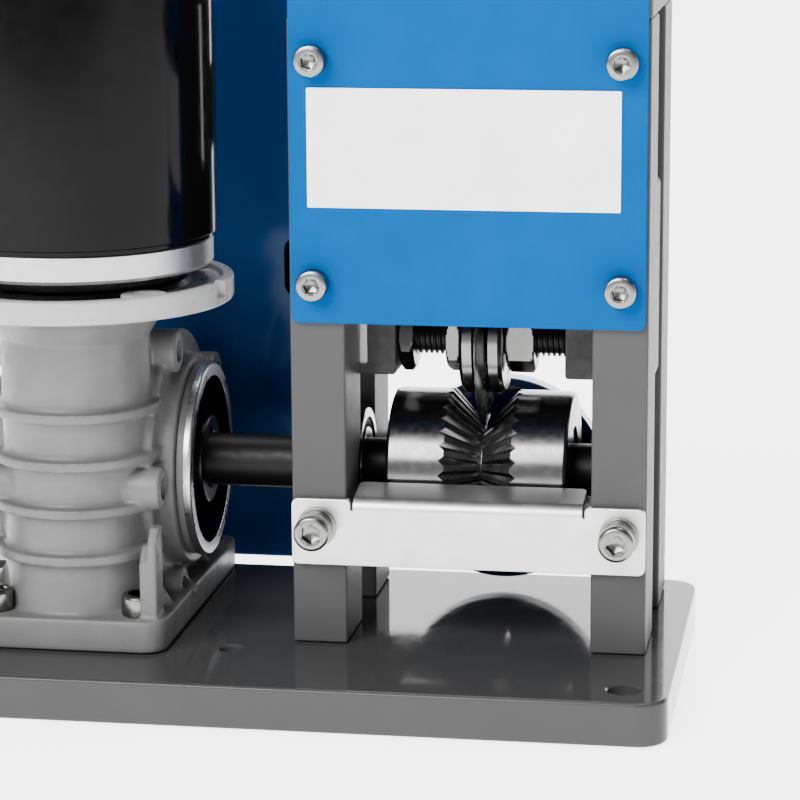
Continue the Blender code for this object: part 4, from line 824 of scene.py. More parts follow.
class STRIPPER_OT_cap_screws(bpy.types.Operator):
    """Builds every socket cap screw with its knurl and hexagon socket"""

    bl_idname = "stripper.cap_screws"
    bl_label = "Cap screws"

    def execute(self, context):
        for number, (node, out, height, shank, across) in enumerate(CAP_SCREWS):
            low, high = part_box(node)
            size = high - low
            direction = Vector(out)
            spans = sorted(size[i] for i in range(3) if not direction[i])
            centre = (low + high) / 2
            along = abs(size.dot(Vector(map(abs, out))))
            seat = centre + direction * (along / 2 - height * MM)
            body = cap_screw(spans[-1] / 2, height * MM, shank * MM, along - height * MM, across * MM)
            spun(body, 0.5 + 0.9 * number)
            made = FINISHES["rod"] if node.startswith("top") else FINISHES["zinc"]
            finish_piece(f"socket_{node}", face_along(body, out, seat), made, "frame", "zinc", node,
                         weighted=False)
        return {"FINISHED"}


class STRIPPER_OT_wire_rest(bpy.types.Operator):
    """Builds the bent sheet wire rest and the washers under its screws"""

    bl_idname = "stripper.wire_rest"
    bl_label = "Wire rest"

    def execute(self, context):
        low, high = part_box("wire_rest_bracket")
        back = low.y + REST_THICKNESS
        bend_start = low.z + REST_BEND_RISE
        ear = low.z + REST_EAR_RISE
        inner, outer = 31.4 * MM, 32.0 * MM
        neutral = REST_BEND_RADIUS + REST_THICKNESS / 2
        arc = neutral * REST_BEND
        top = bend_start + arc + REST_LIP
        half = high.x
        right = [(half, low.z, 1.8 * MM), (half, ear, 1.8 * MM), (outer, ear, 1.2 * MM),
                 (outer, bend_start, 0.25 * MM), (inner, bend_start, 0.25 * MM), (inner, top, 1.6 * MM)]
        corners = right + [(-u, v, r) for u, v, r in reversed(right)]
        bm = slab(fillet(corners, 5), "Y", low.y, back, context.scene.stripper_sizes.sheet_edge, 2)
        cuts = 14
        for k in range(cuts + 1):
            geom = bm.verts[:] + bm.edges[:] + bm.faces[:]
            bmesh.ops.bisect_plane(bm, geom=geom, dist=TINY, plane_co=(0, 0, bend_start + arc * k / cuts),
                                   plane_no=(0, 0, 1))
        pivot = back + REST_BEND_RADIUS
        for vert in bm.verts:
            along = vert.co.z - bend_start
            if along > 0 and abs(vert.co.x) < (inner + outer) / 2:
                turn = min(along, arc) / neutral
                reach = pivot - vert.co.y
                beyond = max(along - arc, 0.0)
                vert.co.y = pivot - reach * math.cos(turn) + beyond * math.sin(turn)
                vert.co.z = bend_start + reach * math.sin(turn) + beyond * math.cos(turn)
        finish_piece("bent_wire_rest", bm, FINISHES["sheet"], "frame", "zinc", "wire_rest_bracket")
        for side in ("left", "right"):
            low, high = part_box(f"bracket_washer_{side}")
            centre = (low + high) / 2
            flat = lathe(tube(5.4 * MM, 3.3 * MM, 0.0, 1.2 * MM, 0.2 * MM), "Y",
                         (centre.x, high.y - 1.2 * MM, centre.z), 64)
            sprung = spring_washer(4.7 * MM, 3.2 * MM, 1.45 * MM, (centre.x, low.y, centre.z))
            finish_piece(f"washers_{side}", join(flat, sprung), FINISHES["zinc"], "frame", "zinc",
                         f"bracket_washer_{side}", weighted=False)
        return {"FINISHED"}


def spring_washer(outer, inner, height, foot):
    """A split ring, cut with a gap."""
    bm = bmesh.new()
    corners = [(r, z, 0.15 * MM)
               for r, z in ((inner, 0.0), (outer, 0.0), (outer, height), (inner, height))]
    ring = [bm.verts.new((r, 0.0, z)) for r, z in fillet(corners, 2)]
    section = bm.faces.new(ring)
    gap = math.radians(9)
    bmesh.ops.spin(bm, geom=[section], cent=(0, 0, 0), axis=(0, 0, 1), angle=2 * math.pi - gap, steps=60)
    spun(bm, math.radians(120))
    bmesh.ops.transform(bm, matrix=Matrix.Translation(foot) @ TURN["Y"], verts=bm.verts)
    bmesh.ops.recalc_face_normals(bm, faces=bm.faces)
    return bm


class STRIPPER_OT_roller(bpy.types.Operator):
    """Builds the toothed feed roller"""

    bl_idname = "stripper.roller"
    bl_label = "Feed roller"

    def execute(self, context):
        sizes = context.scene.stripper_sizes
        low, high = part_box("feed_roller")
        radius = (high.z - low.z) / 2
        left, right = low.x, high.x
        bore = SHAFT_BORE
        root, ridge, half_root = 12 * MM, 9.2 * MM, 0.05 * MM
        middle_x = STACK.x
        pitch = 2 * math.pi / sizes.roller_teeth
        cut_share = 0.3
        rings = []
        for k in range(sizes.roller_teeth):
            for share in (0.0, 0.15, 0.30, 0.45, 0.60, 0.80):
                deep = sizes.tooth_depth * max(0.0, 1 - abs(share - cut_share) / cut_share)
                reach = ridge + deep
                angle = (k + share) * pitch
                section = [
                    (left + 0.8 * MM, bore), (left + 0.8 * MM, bore + 4 * MM), (left, bore + 4.6 * MM),
                    (left, radius - 1.1 * MM),
                    (left + 0.3 * MM, radius - 0.35 * MM), (left + 1.0 * MM, radius),
                    (middle_x - reach - 0.15 * MM, radius),
                    (middle_x - reach + 0.1 * MM, radius - 0.12 * MM), (middle_x - half_root, root),
                    (middle_x + half_root, root), (middle_x + reach - 0.1 * MM, radius - 0.12 * MM),
                    (middle_x + reach + 0.15 * MM, radius), (right - 1.0 * MM, radius),
                    (right - 0.3 * MM, radius - 0.35 * MM), (right, radius - 1.1 * MM),
                    (right, bore + 4.6 * MM), (right - 0.8 * MM, bore + 4 * MM), (right - 0.8 * MM, bore),
                ]
                rings.append([(x, SHAFT.y + r * math.sin(angle), SHAFT.z + r * math.cos(angle))
                              for x, r in section])
        bm = loft(rings, closed=True)

        # Painted light and shade on the teeth: the falling flank after each tooth's peak keeps the bright
        # roller steel as a painted highlight, and the rising flank and land take the darker tooth steel as
        # painted shade over the teeth's own darker tone.
        def tooth_face_with_painted_shade(place):
            y, z = place.y - SHAFT.y, place.z - SHAFT.z
            share = (math.atan2(y, z) / pitch) % 1
            inside = abs(place.x - middle_x) < ridge + sizes.tooth_depth + MM
            inside = inside and math.hypot(y, z) < radius - 0.15 * MM
            return inside and not cut_share < share < 2 * cut_share

        tint(bm, tooth_face_with_painted_shade)
        finish_piece("toothed_feed_roller", bm, (FINISHES["roller"], FINISHES["teeth"]), "drive",
                     "polished_steel", "feed_roller", sharp=math.radians(18), weighted=False)
        return {"FINISHED"}


class STRIPPER_OT_shaft(bpy.types.Operator):
    """Builds the drive shaft, its key, the hollow output hub and the bearings"""

    bl_idname = "stripper.shaft"
    bl_label = "Shaft and bearings"

    def execute(self, context):
        low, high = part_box("drive_shaft")
        key_low, key_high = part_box("drive_key")
        centre = (0.0, SHAFT.y, SHAFT.z)
        body = lathe(tube(SHAFT_RADIUS, 0.0, low.x, high.x, 0.8 * MM), "X", centre, ROUND)
        gap = FACE_GAP
        slot = fillet(corners_of(key_low.x - gap, key_high.x + gap, key_low.y - gap, key_high.y + gap,
                                 2.7 * MM), 8)
        body = cut(body, prism(slot, "Z", key_low.z - gap, key_high.z + 6 * MM))
        finish_piece("black_drive_shaft", body, FINISHES["shaft"], "drive", "black_oxide", "drive_shaft")
        key = panel(key_low, key_high, "Z", 2.2 * MM, 0.2 * MM, segments=2)
        finish_piece("rounded_drive_key", key, FINISHES["zinc"], "drive", "polished_steel", "drive_key")
        hub_low, hub_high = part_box("output_hub")
        hub = lathe(tube(12.5 * MM, SHAFT_BORE, hub_low.x, hub_high.x, 0.8 * MM), "X", centre, ROUND)
        broach = [(key_low.y - gap, SHAFT.z), (key_high.y + gap, SHAFT.z),
                  (key_high.y + gap, key_high.z + gap), (key_low.y - gap, key_high.z + gap)]
        hub = cut(hub, prism(broach, "X", hub_low.x - MM, hub_high.x + MM))
        finish_piece("hollow_output_hub", hub, FINISHES["hub"], "drive", "polished_steel", "output_hub")
        for side, way in (("left", -1), ("right", 1)):
            low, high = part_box(f"bearing_outer_{side}")
            near, far = (high.x, low.x) if way < 0 else (low.x, high.x)
            race = fillet([(13.2 * MM, near, 0.3 * MM), (BEARING_RADIUS, near, 0.5 * MM),
                           (BEARING_RADIUS, far, 0.5 * MM), (13.2 * MM, far, 0.3 * MM)], 3)
            outer = lathe(race, "X", centre, ROUND)
            finish_piece(f"bearing_race_{side}", outer, FINISHES["bearing"], "frame", "polished_steel",
                         f"bearing_outer_{side}")
            step = way * 0.5 * MM
            shield = [(10.9 * MM, near + 2 * step), (12.0 * MM, near + step), (13.1 * MM, near + step),
                      (13.1 * MM, far - step), (10.9 * MM, far - step)]
            finish_piece(f"bearing_shield_{side}", lathe(shield, "X", centre, ROUND), FINISHES["shield"],
                         "frame", "seal_rubber")
            low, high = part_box(f"bearing_inner_{side}")
            inner = lathe(tube(10.5 * MM, SHAFT_BORE, low.x, high.x, 0.4 * MM), "X", centre, ROUND)
            finish_piece(f"bearing_ring_{side}", inner, FINISHES["bearing"], "drive", "polished_steel",
                         f"bearing_inner_{side}")
        return {"FINISHED"}


class STRIPPER_OT_blade(bpy.types.Operator):
    """Builds the disc blade and its flanges"""

    bl_idname = "stripper.blade"
    bl_label = "Blade and flanges"

    def execute(self, context):
        bore = ROD_BORE
        low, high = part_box("blade_disc")
        radius = (high.z - low.z) / 2
        half = (high.x - low.x) / 2
        land = radius - 8 * MM
        outline = [(bore, -half), (land - 0.3 * MM, -half), (land, -half + 0.03 * MM),
                   (radius - 1.2 * MM, -0.34 * MM), (radius, -0.05 * MM),
                   (radius, 0.05 * MM), (radius - 1.2 * MM, 0.34 * MM), (land, half - 0.03 * MM),
                   (land - 0.3 * MM, half), (bore, half)]
        finish_piece("ground_blade_disc", lathe(outline, "X", STACK, FINE_ROUND), FINISHES["blade"],
                     "blade", "polished_steel", "blade_disc", sharp=math.radians(8))
        for side, way in (("left", -1), ("right", 1)):
            low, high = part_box(f"blade_flange_{side}")
            near, far = (high.x, low.x) if way < 0 else (low.x, high.x)
            near, far = near - STACK.x, far - STACK.x
            rim = 15.6 * MM
            points = fillet([(bore, near, 0.2 * MM), (rim - 0.5 * MM, near, 0.0),
                             (rim, near + way * 0.5 * MM, 0.0), (rim, far - way * 1.1 * MM, 0.3 * MM),
                             (rim - 1.1 * MM, far, 0.3 * MM), (bore + 5.5 * MM, far, 0.0),
                             (bore + 5.2 * MM, far - way * 0.3 * MM, 0.0),
                             (bore, far - way * 0.3 * MM, 0.0)], 3)
            finish_piece(f"turned_flange_{side}", lathe(points, "X", STACK, FINE_ROUND), FINISHES["flange"],
                         "blade", "polished_steel", f"blade_flange_{side}", sharp=math.radians(20))
        return {"FINISHED"}


class STRIPPER_OT_rod(bpy.types.Operator):
    """Builds the threaded rod and its three nuts"""

    bl_idname = "stripper.rod"
    bl_label = "Rod and nuts"

    def execute(self, context):
        low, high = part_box("blade_rod")
        bm = threaded(THREAD_RADIUS, 0.92 * MM, context.scene.stripper_sizes.rod_pitch, low.x, high.x, "X",
                      (0.0, ROD.y, ROD.z))
        finish_piece("threaded_blade_rod", bm, FINISHES["rod"], "carriage", "black_oxide", "blade_rod",
                     weighted=False)
        for node, turn in (("blade_nut_left", 0.56), ("blade_nut_right", 0.52), ("rod_lock_nut", 0.30)):
            low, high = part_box(node)
            body = spun(nut(NUT_ACROSS, high.x - low.x, 5.05 * MM), turn)
            face_along(body, (1, 0, 0), (low.x, ROD.y, ROD.z))
            finish_piece(f"chamfered_{node}", body, FINISHES["nut"], "carriage", "zinc", node,
                         sharp=math.radians(20))
        return {"FINISHED"}


class STRIPPER_OT_carriage(bpy.types.Operator):
    """Builds the sliding carriage with its milled grooves"""

    bl_idname = "stripper.carriage"
    bl_label = "Carriage"

    def execute(self, context):
        low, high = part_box("carriage_yoke")
        inner = 23.6 * MM
        bar = high.z - 14 * MM
        outline = fillet([(high.x, low.z, 0.0), (high.x, high.z, 2.6 * MM), (-high.x, high.z, 2.6 * MM),
                          (-high.x, low.z, 0.0),
                          (-inner, low.z, 1.0 * MM), (-inner, bar, 6 * MM), (inner, bar, 6 * MM),
                          (inner, low.z, 1.0 * MM)], 8)
        yoke = slab(outline, "Y", low.y, high.y, 0.4 * MM)
        tools = []
        for way in (-1, 1):
            near, far = sorted((way * 31.6 * MM, way * 34.2 * MM))
            corners = corners_of(near, far, low.z + 2.6 * MM, bar)
            foot = 0 if way > 0 else 1
            corners[foot] = (*corners[foot][:2], 1.0 * MM)
            tools.append(prism(fillet(corners, 6), "Y", low.y - 3 * MM, low.y + 1.2 * MM))
        tools.append(plug(ROD_BORE, bar - 2 * MM, high.z + MM, "Z", (KNOB.x, KNOB.y, 0.0), 48))
        reach = 42.9 * MM
        tools.append(plug(ROD_BORE, -reach, reach, "X", (0.0, ROD.y, ROD.z), 48))
        bm = cut(yoke, *tools)

        def in_groove(place):
            across = 31 * MM < abs(place.x) < 34.3 * MM
            deep = low.y + 0.05 * MM < place.y < low.y + 1.3 * MM
            return across and deep and low.z + 2.4 * MM < place.z < bar

        tint(bm, in_groove)
        finish_piece("milled_carriage", bm, (FINISHES["yoke"], FINISHES["milled"]), "carriage",
                     "dark_steel", "carriage_yoke")
        return {"FINISHED"}


class STRIPPER_OT_lift(bpy.types.Operator):
    """Builds the lift screw, its collar and the hand knob"""

    bl_idname = "stripper.lift"
    bl_label = "Lift screw and knob"

    def execute(self, context):
        low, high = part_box("lift_screw")
        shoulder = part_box("carriage_yoke")[1].z + FACE_GAP
        axle = (KNOB.x, KNOB.y, 0.0)
        plain = fillet([(0.0, low.z, 0.0), (5 * MM, low.z, 0.8 * MM), (5 * MM, shoulder, 0.0),
                        (9.5 * MM, shoulder, 0.5 * MM),
                        (9.5 * MM, shoulder + 4 * MM, 0.8 * MM), (5.0 * MM, shoulder + 4 * MM, 0.0),
                        (5.0 * MM, shoulder + 6 * MM, 0.0), (0.0, shoulder + 6 * MM, 0.0)], 4)
        pitch = context.scene.stripper_sizes.lift_pitch
        screw = threaded(6 * MM, 1.5 * MM, pitch, shoulder + 5 * MM, high.z, "Z", axle, 40, 0.30)
        finish_piece("threaded_lift_screw", join(lathe(plain, "Z", axle), screw), FINISHES["screw"],
                     "screw", "polished_steel", "lift_screw", weighted=False)
        low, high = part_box("screw_collar")
        finish_piece("lift_collar", lathe(tube(8 * MM, 5.2 * MM, low.z, high.z, 0.5 * MM), "Z", axle),
                     FINISHES["rod"], "screw", "polished_steel", "screw_collar")
        low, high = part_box("hand_knob")
        lobe_low = low.z + 8 * MM
        radius = 24 * MM

        def lobes(share, height, shrink=0.0):
            points = []
            for k in range(144):
                angle = 2 * math.pi * k / 144
                reach = (radius * (1 - 0.065 * (1 - math.cos(6 * angle))) - shrink) * share
                points.append((KNOB.x + reach * math.cos(angle), KNOB.y + reach * math.sin(angle), height))
            return points

        rings = [lobes(0.50, lobe_low), lobes(1.0, lobe_low, 1.6 * MM),
                 lobes(1.0, lobe_low + 0.5 * MM, 0.5 * MM), lobes(1.0, lobe_low + 1.5 * MM),
                 lobes(1.0, high.z - 3.2 * MM), lobes(1.0, high.z - 1.8 * MM, 0.5 * MM),
                 lobes(1.0, high.z - 0.7 * MM, 1.6 * MM), lobes(1.0, high.z, 3.6 * MM),
                 lobes(0.46, high.z, 0.0), lobes(0.43, high.z - 0.6 * MM, 0.0),
                 lobes(0.40, high.z - 0.6 * MM, 0.0)]
        stem_top = lobe_low + 2 * MM
        stem = fillet([(6.4 * MM, low.z, 0.3 * MM), (11 * MM, low.z, 0.8 * MM), (11 * MM, stem_top, 0.0),
                       (6.4 * MM, stem_top, 0.0)], 4)
        hub = lathe(stem, "Z", axle)
        bore = plug(LIFT_BORE, low.z - MM, high.z - 2.7 * MM, "Z", axle, 48)
        body = cut(loft(rings), bore)
        cap_low, cap_high = high.z - 0.9 * MM, high.z - 0.15 * MM
        disc = fillet([(0.0, cap_low, 0.0), (8.6 * MM, cap_low, 0.0), (8.6 * MM, cap_high, 0.4 * MM),
                       (0.0, cap_high, 0.0)], 4)
        cap = lathe(disc, "Z", axle)
        finish_piece("lobed_hand_knob", join(body, hub), FINISHES["knob"], "screw", "black_plastic",
                     "hand_knob")
        finish_piece("knob_cap", cap, FINISHES["screw"], "screw", "zinc")
        return {"FINISHED"}


class STRIPPER_OT_turret(bpy.types.Operator):
    """Builds the turret of guide holes and the plate that carries it"""

    bl_idname = "stripper.turret"
    bl_label = "Guide turret"

    def execute(self, context):
        low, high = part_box("guide_turret")
        depth = high.y - low.y
        foot = Vector((TURRET.x, low.y, TURRET.z))
        disc = lathe(fillet([(4.3 * MM, 0.0, 0.3 * MM), (28.0 * MM, 0.0, 0.8 * MM),
                             (TURRET_RADIUS, 1.9 * MM, 0.8 * MM), (TURRET_RADIUS, depth, 0.8 * MM),
                             (4.3 * MM, depth, 0.3 * MM)], 5), "Y", foot, FINE_ROUND)
        first = -math.asin(1.1 * MM / HOLE_CIRCLE)
        tools = []
        for k, share in enumerate(GUIDE_SHARES):
            angle = first + 2 * math.pi * k / len(GUIDE_SHARES)
            radius = GUIDE_HOLE * share
            out = Vector((math.sin(angle), 0.0, math.cos(angle)))
            mouth = foot + out * HOLE_CIRCLE
            narrow = max(0.32 * radius, 0.9 * MM)
            throat = mouth - out * (radius - narrow)
            rings = []
            for centre, size, along in ((mouth, radius + 1.5 * MM, -MM), (mouth, radius, 0.5 * MM),
                                        (throat, narrow, 4.5 * MM), (throat, narrow, depth + MM)):
                rings.append([(centre.x + u, foot.y + y, centre.z + v)
                              for u, v, y in circle(size, along, 48)])
            tools.append(loft(rings))
        bm = cut(disc, *tools)
        finish_piece("drilled_guide_turret", bm, FINISHES["turret"], "turret", "turret_blue",
                     "guide_turret")
        low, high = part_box("guide_plate")
        plate = panel(low, high, "Y", 3 * MM, 0.4 * MM)
        place = middle("guide_turret")
        hole = plug(BOLT_BORE, low.y - MM, high.y + MM, "Y", (place.x, 0.0, place.z), 48)
        finish_piece("turret_plate", cut(plate, hole), FINISHES["plate"], "frame", "zinc", "guide_plate")
        return {"FINISHED"}


class STRIPPER_OT_gear_unit(bpy.types.Operator):
    """Builds the cast worm gear housing with its output ring and seal"""

    bl_idname = "stripper.gear_unit"
    bl_label = "Gear unit"

    def execute(self, context):
        low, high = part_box("gearbox_housing")
        x = GEAR.x
        axis = Vector((x, SHAFT.y, SHAFT.z))
        top = high.z
        ring_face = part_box("output_ring")[0].x - FACE_GAP - x
        drum = lathe([(0.0, -ring_face), (30 * MM, -ring_face), (30.5 * MM, -22.5 * MM),
                      (37 * MM, -22.2 * MM), (37 * MM, 22.2 * MM), (30.5 * MM, 22.5 * MM),
                      (30 * MM, ring_face), (0.0, ring_face)], "X", axis)
        barrel = plug(20.6 * MM, low.z + 2 * MM, top, "Z", (x, WORM.y, 0.0))
        pieces = [drum, barrel]
        for k in range(4):
            z = low.z + 25 * MM + 13.2 * MM * k
            pieces.append(plug(23.6 * MM, z - 1.6 * MM, z + 1.2 * MM, "Z", (x, WORM.y, 0.0)))
        front = WORM.y - 10.5 * MM
        back = SHAFT.y + 18.8 * MM
        web = [(front, low.z + 5 * MM), (back, low.z + 5 * MM), (back, SHAFT.z + 18.8 * MM),
               (WORM.y + 10.5 * MM, top - 6.5 * MM), (front, top - 6.5 * MM)]
        pieces.append(prism(web, "X", x - 17 * MM, x + 17 * MM))
        foot = slab(fillet(corners_of(x - 28.7 * MM, x + 28.7 * MM, SHAFT.y - 53.7 * MM,
                                      SHAFT.y + 43.7 * MM, 6 * MM), 5), "Z", low.z, low.z + 9 * MM,
                    0.6 * MM)
        pieces.append(foot)
        lugs = [(SHAFT.y + LUG_CIRCLE * math.cos(a), SHAFT.z + LUG_CIRCLE * math.sin(a))
                for a in LUG_ANGLES]
        for y, z in lugs:
            pieces.append(plug(LUG_RADIUS, -LUG_REACH, LUG_REACH, "X", (x, y, z), 32))
        for way in (-1, 1):
            for y in (SHAFT.y - 34 * MM, SHAFT.y - 12 * MM, SHAFT.y + 12 * MM):
                gusset = [(x + way * 12 * MM, low.z + 6 * MM), (x + way * 27.5 * MM, low.z + 8 * MM),
                          (x + way * 17 * MM, SHAFT.z - 18 * MM), (x + way * 12 * MM, SHAFT.z - 14 * MM)]
                pieces.append(prism(gusset, "Y", y - 1.6 * MM, y + 1.6 * MM))
        for way in (-1, 1):
            for out, level in ((26.6, 34.0), (24.4, 29.0)):
                near, far = sorted((x + way * (out - 2.6) * MM, x + way * out * MM))
                rib = [(WORM.y - 21 * MM, low.z + 6 * MM), (WORM.y - 13 * MM, low.z + 6 * MM),
                       (WORM.y - 13 * MM, low.z + level * MM),
                       (WORM.y - 17 * MM, low.z + level * MM), (WORM.y - 21 * MM, low.z + (level - 5) * MM)]
                pieces.append(prism(rib, "X", near, far))
            block = corners_flat(WORM.y - 4 * MM, SHAFT.y - 24 * MM, SHAFT.z - 5.6 * MM, SHAFT.z + 5.6 * MM)
            pieces.append(prism(block, "X", *sorted((x + way * 12 * MM, x + way * 24 * MM))))
        neck = [(0.0, top - 9 * MM), (21 * MM, top - 9 * MM), (24 * MM, top - 4 * MM),
                (28 * MM, top - 1.0 * MM), (28 * MM, top), (0.0, top)]
        pieces.append(lathe(neck, "Z", (x, WORM.y, 0.0)))
        whole = loose(join(*pieces))
        remesh = whole.modifiers.new("skin", "REMESH")
        remesh.mode = "VOXEL"
        remesh.voxel_size = 0.6 * MM
        smooth = whole.modifiers.new("soft", "SMOOTH")
        smooth.factor = 0.5
        smooth.iterations = 3
        thin = whole.modifiers.new("thin", "DECIMATE")
        thin.ratio = 0.35
        casting = worked(whole)
        tools = [plug(HUB_BORE, -WORM_BORE_REACH, WORM_BORE_REACH, "X", axis, 64)]
        tools.append(plug(RECESS_RADIUS, ring_face - RECESS_DEPTH, WORM_BORE_REACH, "X", axis, 96))
        for y, z in lugs:
            tools.append(plug(3.2 * MM, -WORM_BORE_REACH, WORM_BORE_REACH, "X", (x, y, z), 32))
        bm = cut(casting, *tools, solver="MANIFOLD")
        seal_zone = 23.9 * MM
        tint(bm, lambda p: p.x > x + ring_face - 5.4 * MM and (p - axis).yz.length < seal_zone)
        finish_piece("cast_gear_housing", bm, (FINISHES["casting"], FINISHES["seal"]), "frame", "cast_grey",
                     "gearbox_housing", sharp=math.radians(50), weighted=False)
        ring_low, ring_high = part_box("output_ring")
        step = ring_low.x + 1.9 * MM
        section = fillet([(RECESS_RADIUS, ring_low.x, 0.0), (27.3 * MM, ring_low.x, 0.0),
                          (27.3 * MM, step, 0.0), (RING_RADIUS, step, 0.15 * MM),
                          (RING_RADIUS, ring_high.x, 0.9 * MM), (RECESS_RADIUS, ring_high.x, 0.5 * MM)], 4)
        centre = (0.0, SHAFT.y, SHAFT.z)
        bm = lathe(section, "X", centre, FINE_ROUND)
        tint(bm, lambda p: 2 if (p - axis).yz.length < seal_zone else p.x < step - TINY)
        finish_piece("machined_output_ring", bm, (FINISHES["ring"], FINISHES["casting"], FINISHES["seal"]),
                     "frame", "bare_aluminium", "output_ring")
        seal_low, seal_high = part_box("oil_seal")
        out = seal_high.x
        lip = [(HUB_BORE, out - 2.2 * MM), (13.2 * MM, out - 0.9 * MM), (15.0 * MM, out - 0.7 * MM),
               (16.5 * MM, out - 1.4 * MM), (20.5 * MM, out - 1.4 * MM),
               (21.4 * MM, out - 0.2 * MM), (23.0 * MM, out), (23.4 * MM, out - 0.4 * MM),
               (23.4 * MM, seal_low.x), (HUB_BORE, seal_low.x)]
        finish_piece("lipped_oil_seal", lathe(lip, "X", centre, FINE_ROUND), FINISHES["seal"], "frame",
                     "seal_rubber", "oil_seal")
        return {"FINISHED"}


class STRIPPER_OT_motor(bpy.types.Operator):
    """Builds the motor with its end bell and the input flange"""

    bl_idname = "stripper.motor"
    bl_label = "Motor"

    def execute(self, context):
        axle = (WORM.x, WORM.y, 0.0)
        low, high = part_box("input_flange")
        z = low.z
        rim = FLANGE_RADIUS
        points = fillet([(0.0, z, 0.0), (rim, z, 1.2 * MM), (rim, high.z, 0.8 * MM),
                         (rim - 3.0 * MM, high.z, 0.5 * MM), (rim - 3.6 * MM, high.z - 1.6 * MM, 0.5 * MM),
                         (32.5 * MM, high.z - 1.6 * MM, 0.0), (31.5 * MM, high.z - 0.4 * MM, 0.0),
                         (0.0, high.z - 0.4 * MM, 0.0)], 4)
        flange = lathe(points, "Z", axle, FINE_ROUND)
        angles = [math.pi / 4 + math.pi / 2 * k for k in range(4)]
        spots = [(WORM.x + FLANGE_CIRCLE * math.sin(a), WORM.y + FLANGE_CIRCLE * math.cos(a))
                 for a in angles]
        boss = fillet([(0.0, z + MM, 0.0), (6.2 * MM, z + MM, 0.0), (6.2 * MM, high.z, 0.6 * MM),
                       (0.0, high.z, 0.0)], 3)
        bosses = [lathe(boss, "Z", (u, v, 0.0), 40) for u, v in spots]
        flange = cut(flange, *bosses, operation="UNION")
        holes = [plug(3.5 * MM, z - MM, high.z + MM, "Z", (u, v, 0.0), 32) for u, v in spots]
        notch = prism(corners_flat(rim - 3.4 * MM, rim + 2 * MM, -2.8 * MM, 2.8 * MM), "Z", z + 2.4 * MM,
                      high.z + MM)
        bm = cut(flange, *holes, spun(notch, math.radians(-10), axle))
        # Painted shade: the recessed top of the input flange inside 33 mm gets the near-black finish,
        # standing in for the shadow under the end bell; the rim stays light.
        tint(bm, lambda p: math.hypot(p.x - WORM.x, p.y - WORM.y) < 33 * MM and z + 3 * MM < p.z)
        finish_piece("cast_input_flange", bm, (FINISHES["input"], FINISHES["dark"]), "frame",
                     "bare_aluminium", "input_flange")
        low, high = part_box("motor_end_bell")
        z = low.z
        bell = fillet([(0.0, z, 0.0), (30 * MM, z, 0.0), (30 * MM, z + 3.1 * MM, 0.0),
                       (37.6 * MM, z + 3.1 * MM, 0.5 * MM), (BELL_RADIUS, z + 4.1 * MM, 0.8 * MM),
                       (BELL_RADIUS, high.z, 0.3 * MM), (0.0, high.z, 0.0)], 4)
        bm = lathe(bell, "Z", axle, FINE_ROUND)
        # Painted shade: the narrow neck at the foot of the end bell gets the near-black finish, standing in
        # for the shade in the gap above the flange.
        tint(bm, lambda p: p.z < z + 3.0 * MM)
        finish_piece("machined_end_bell", bm, (FINISHES["bell"], FINISHES["dark"]), "frame",
                     "bare_aluminium", "motor_end_bell")
        low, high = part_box("motor_body")
        seam = high.z - 30 * MM
        body = fillet([(0.0, low.z, 0.0), (MOTOR_RADIUS - 0.8 * MM, low.z, 0.4 * MM),
                       (MOTOR_RADIUS - 0.8 * MM, low.z + 1.2 * MM, 0.0),
                       (MOTOR_RADIUS, low.z + 1.6 * MM, 0.4 * MM),
                       (MOTOR_RADIUS, seam, 0.3 * MM), (MOTOR_RADIUS - 0.7 * MM, seam + 0.4 * MM, 0.0),
                       (MOTOR_RADIUS - 0.7 * MM, seam + 1.0 * MM, 0.0),
                       (MOTOR_RADIUS, seam + 1.4 * MM, 0.3 * MM),
                       (MOTOR_RADIUS, high.z, 7 * MM), (0.0, high.z, 0.0)], 8)
        shell = lathe(body, "Z", axle, FINE_ROUND)
        slots = []
        outline = fillet(corners_of(16 * MM, 30 * MM, -1.1 * MM, 1.1 * MM, 1.0 * MM), 4)
        for k in range(VENT_SLOTS):
            slot = prism(outline, "Z", high.z - 3 * MM, high.z + MM)
            slots.append(spun(slot, 2 * math.pi * k / VENT_SLOTS, axle))
        finish_piece("gloss_motor_body", cut(shell, join(*slots)), FINISHES["motor"], "frame",
                     "motor_black", "motor_body")
        return {"FINISHED"}


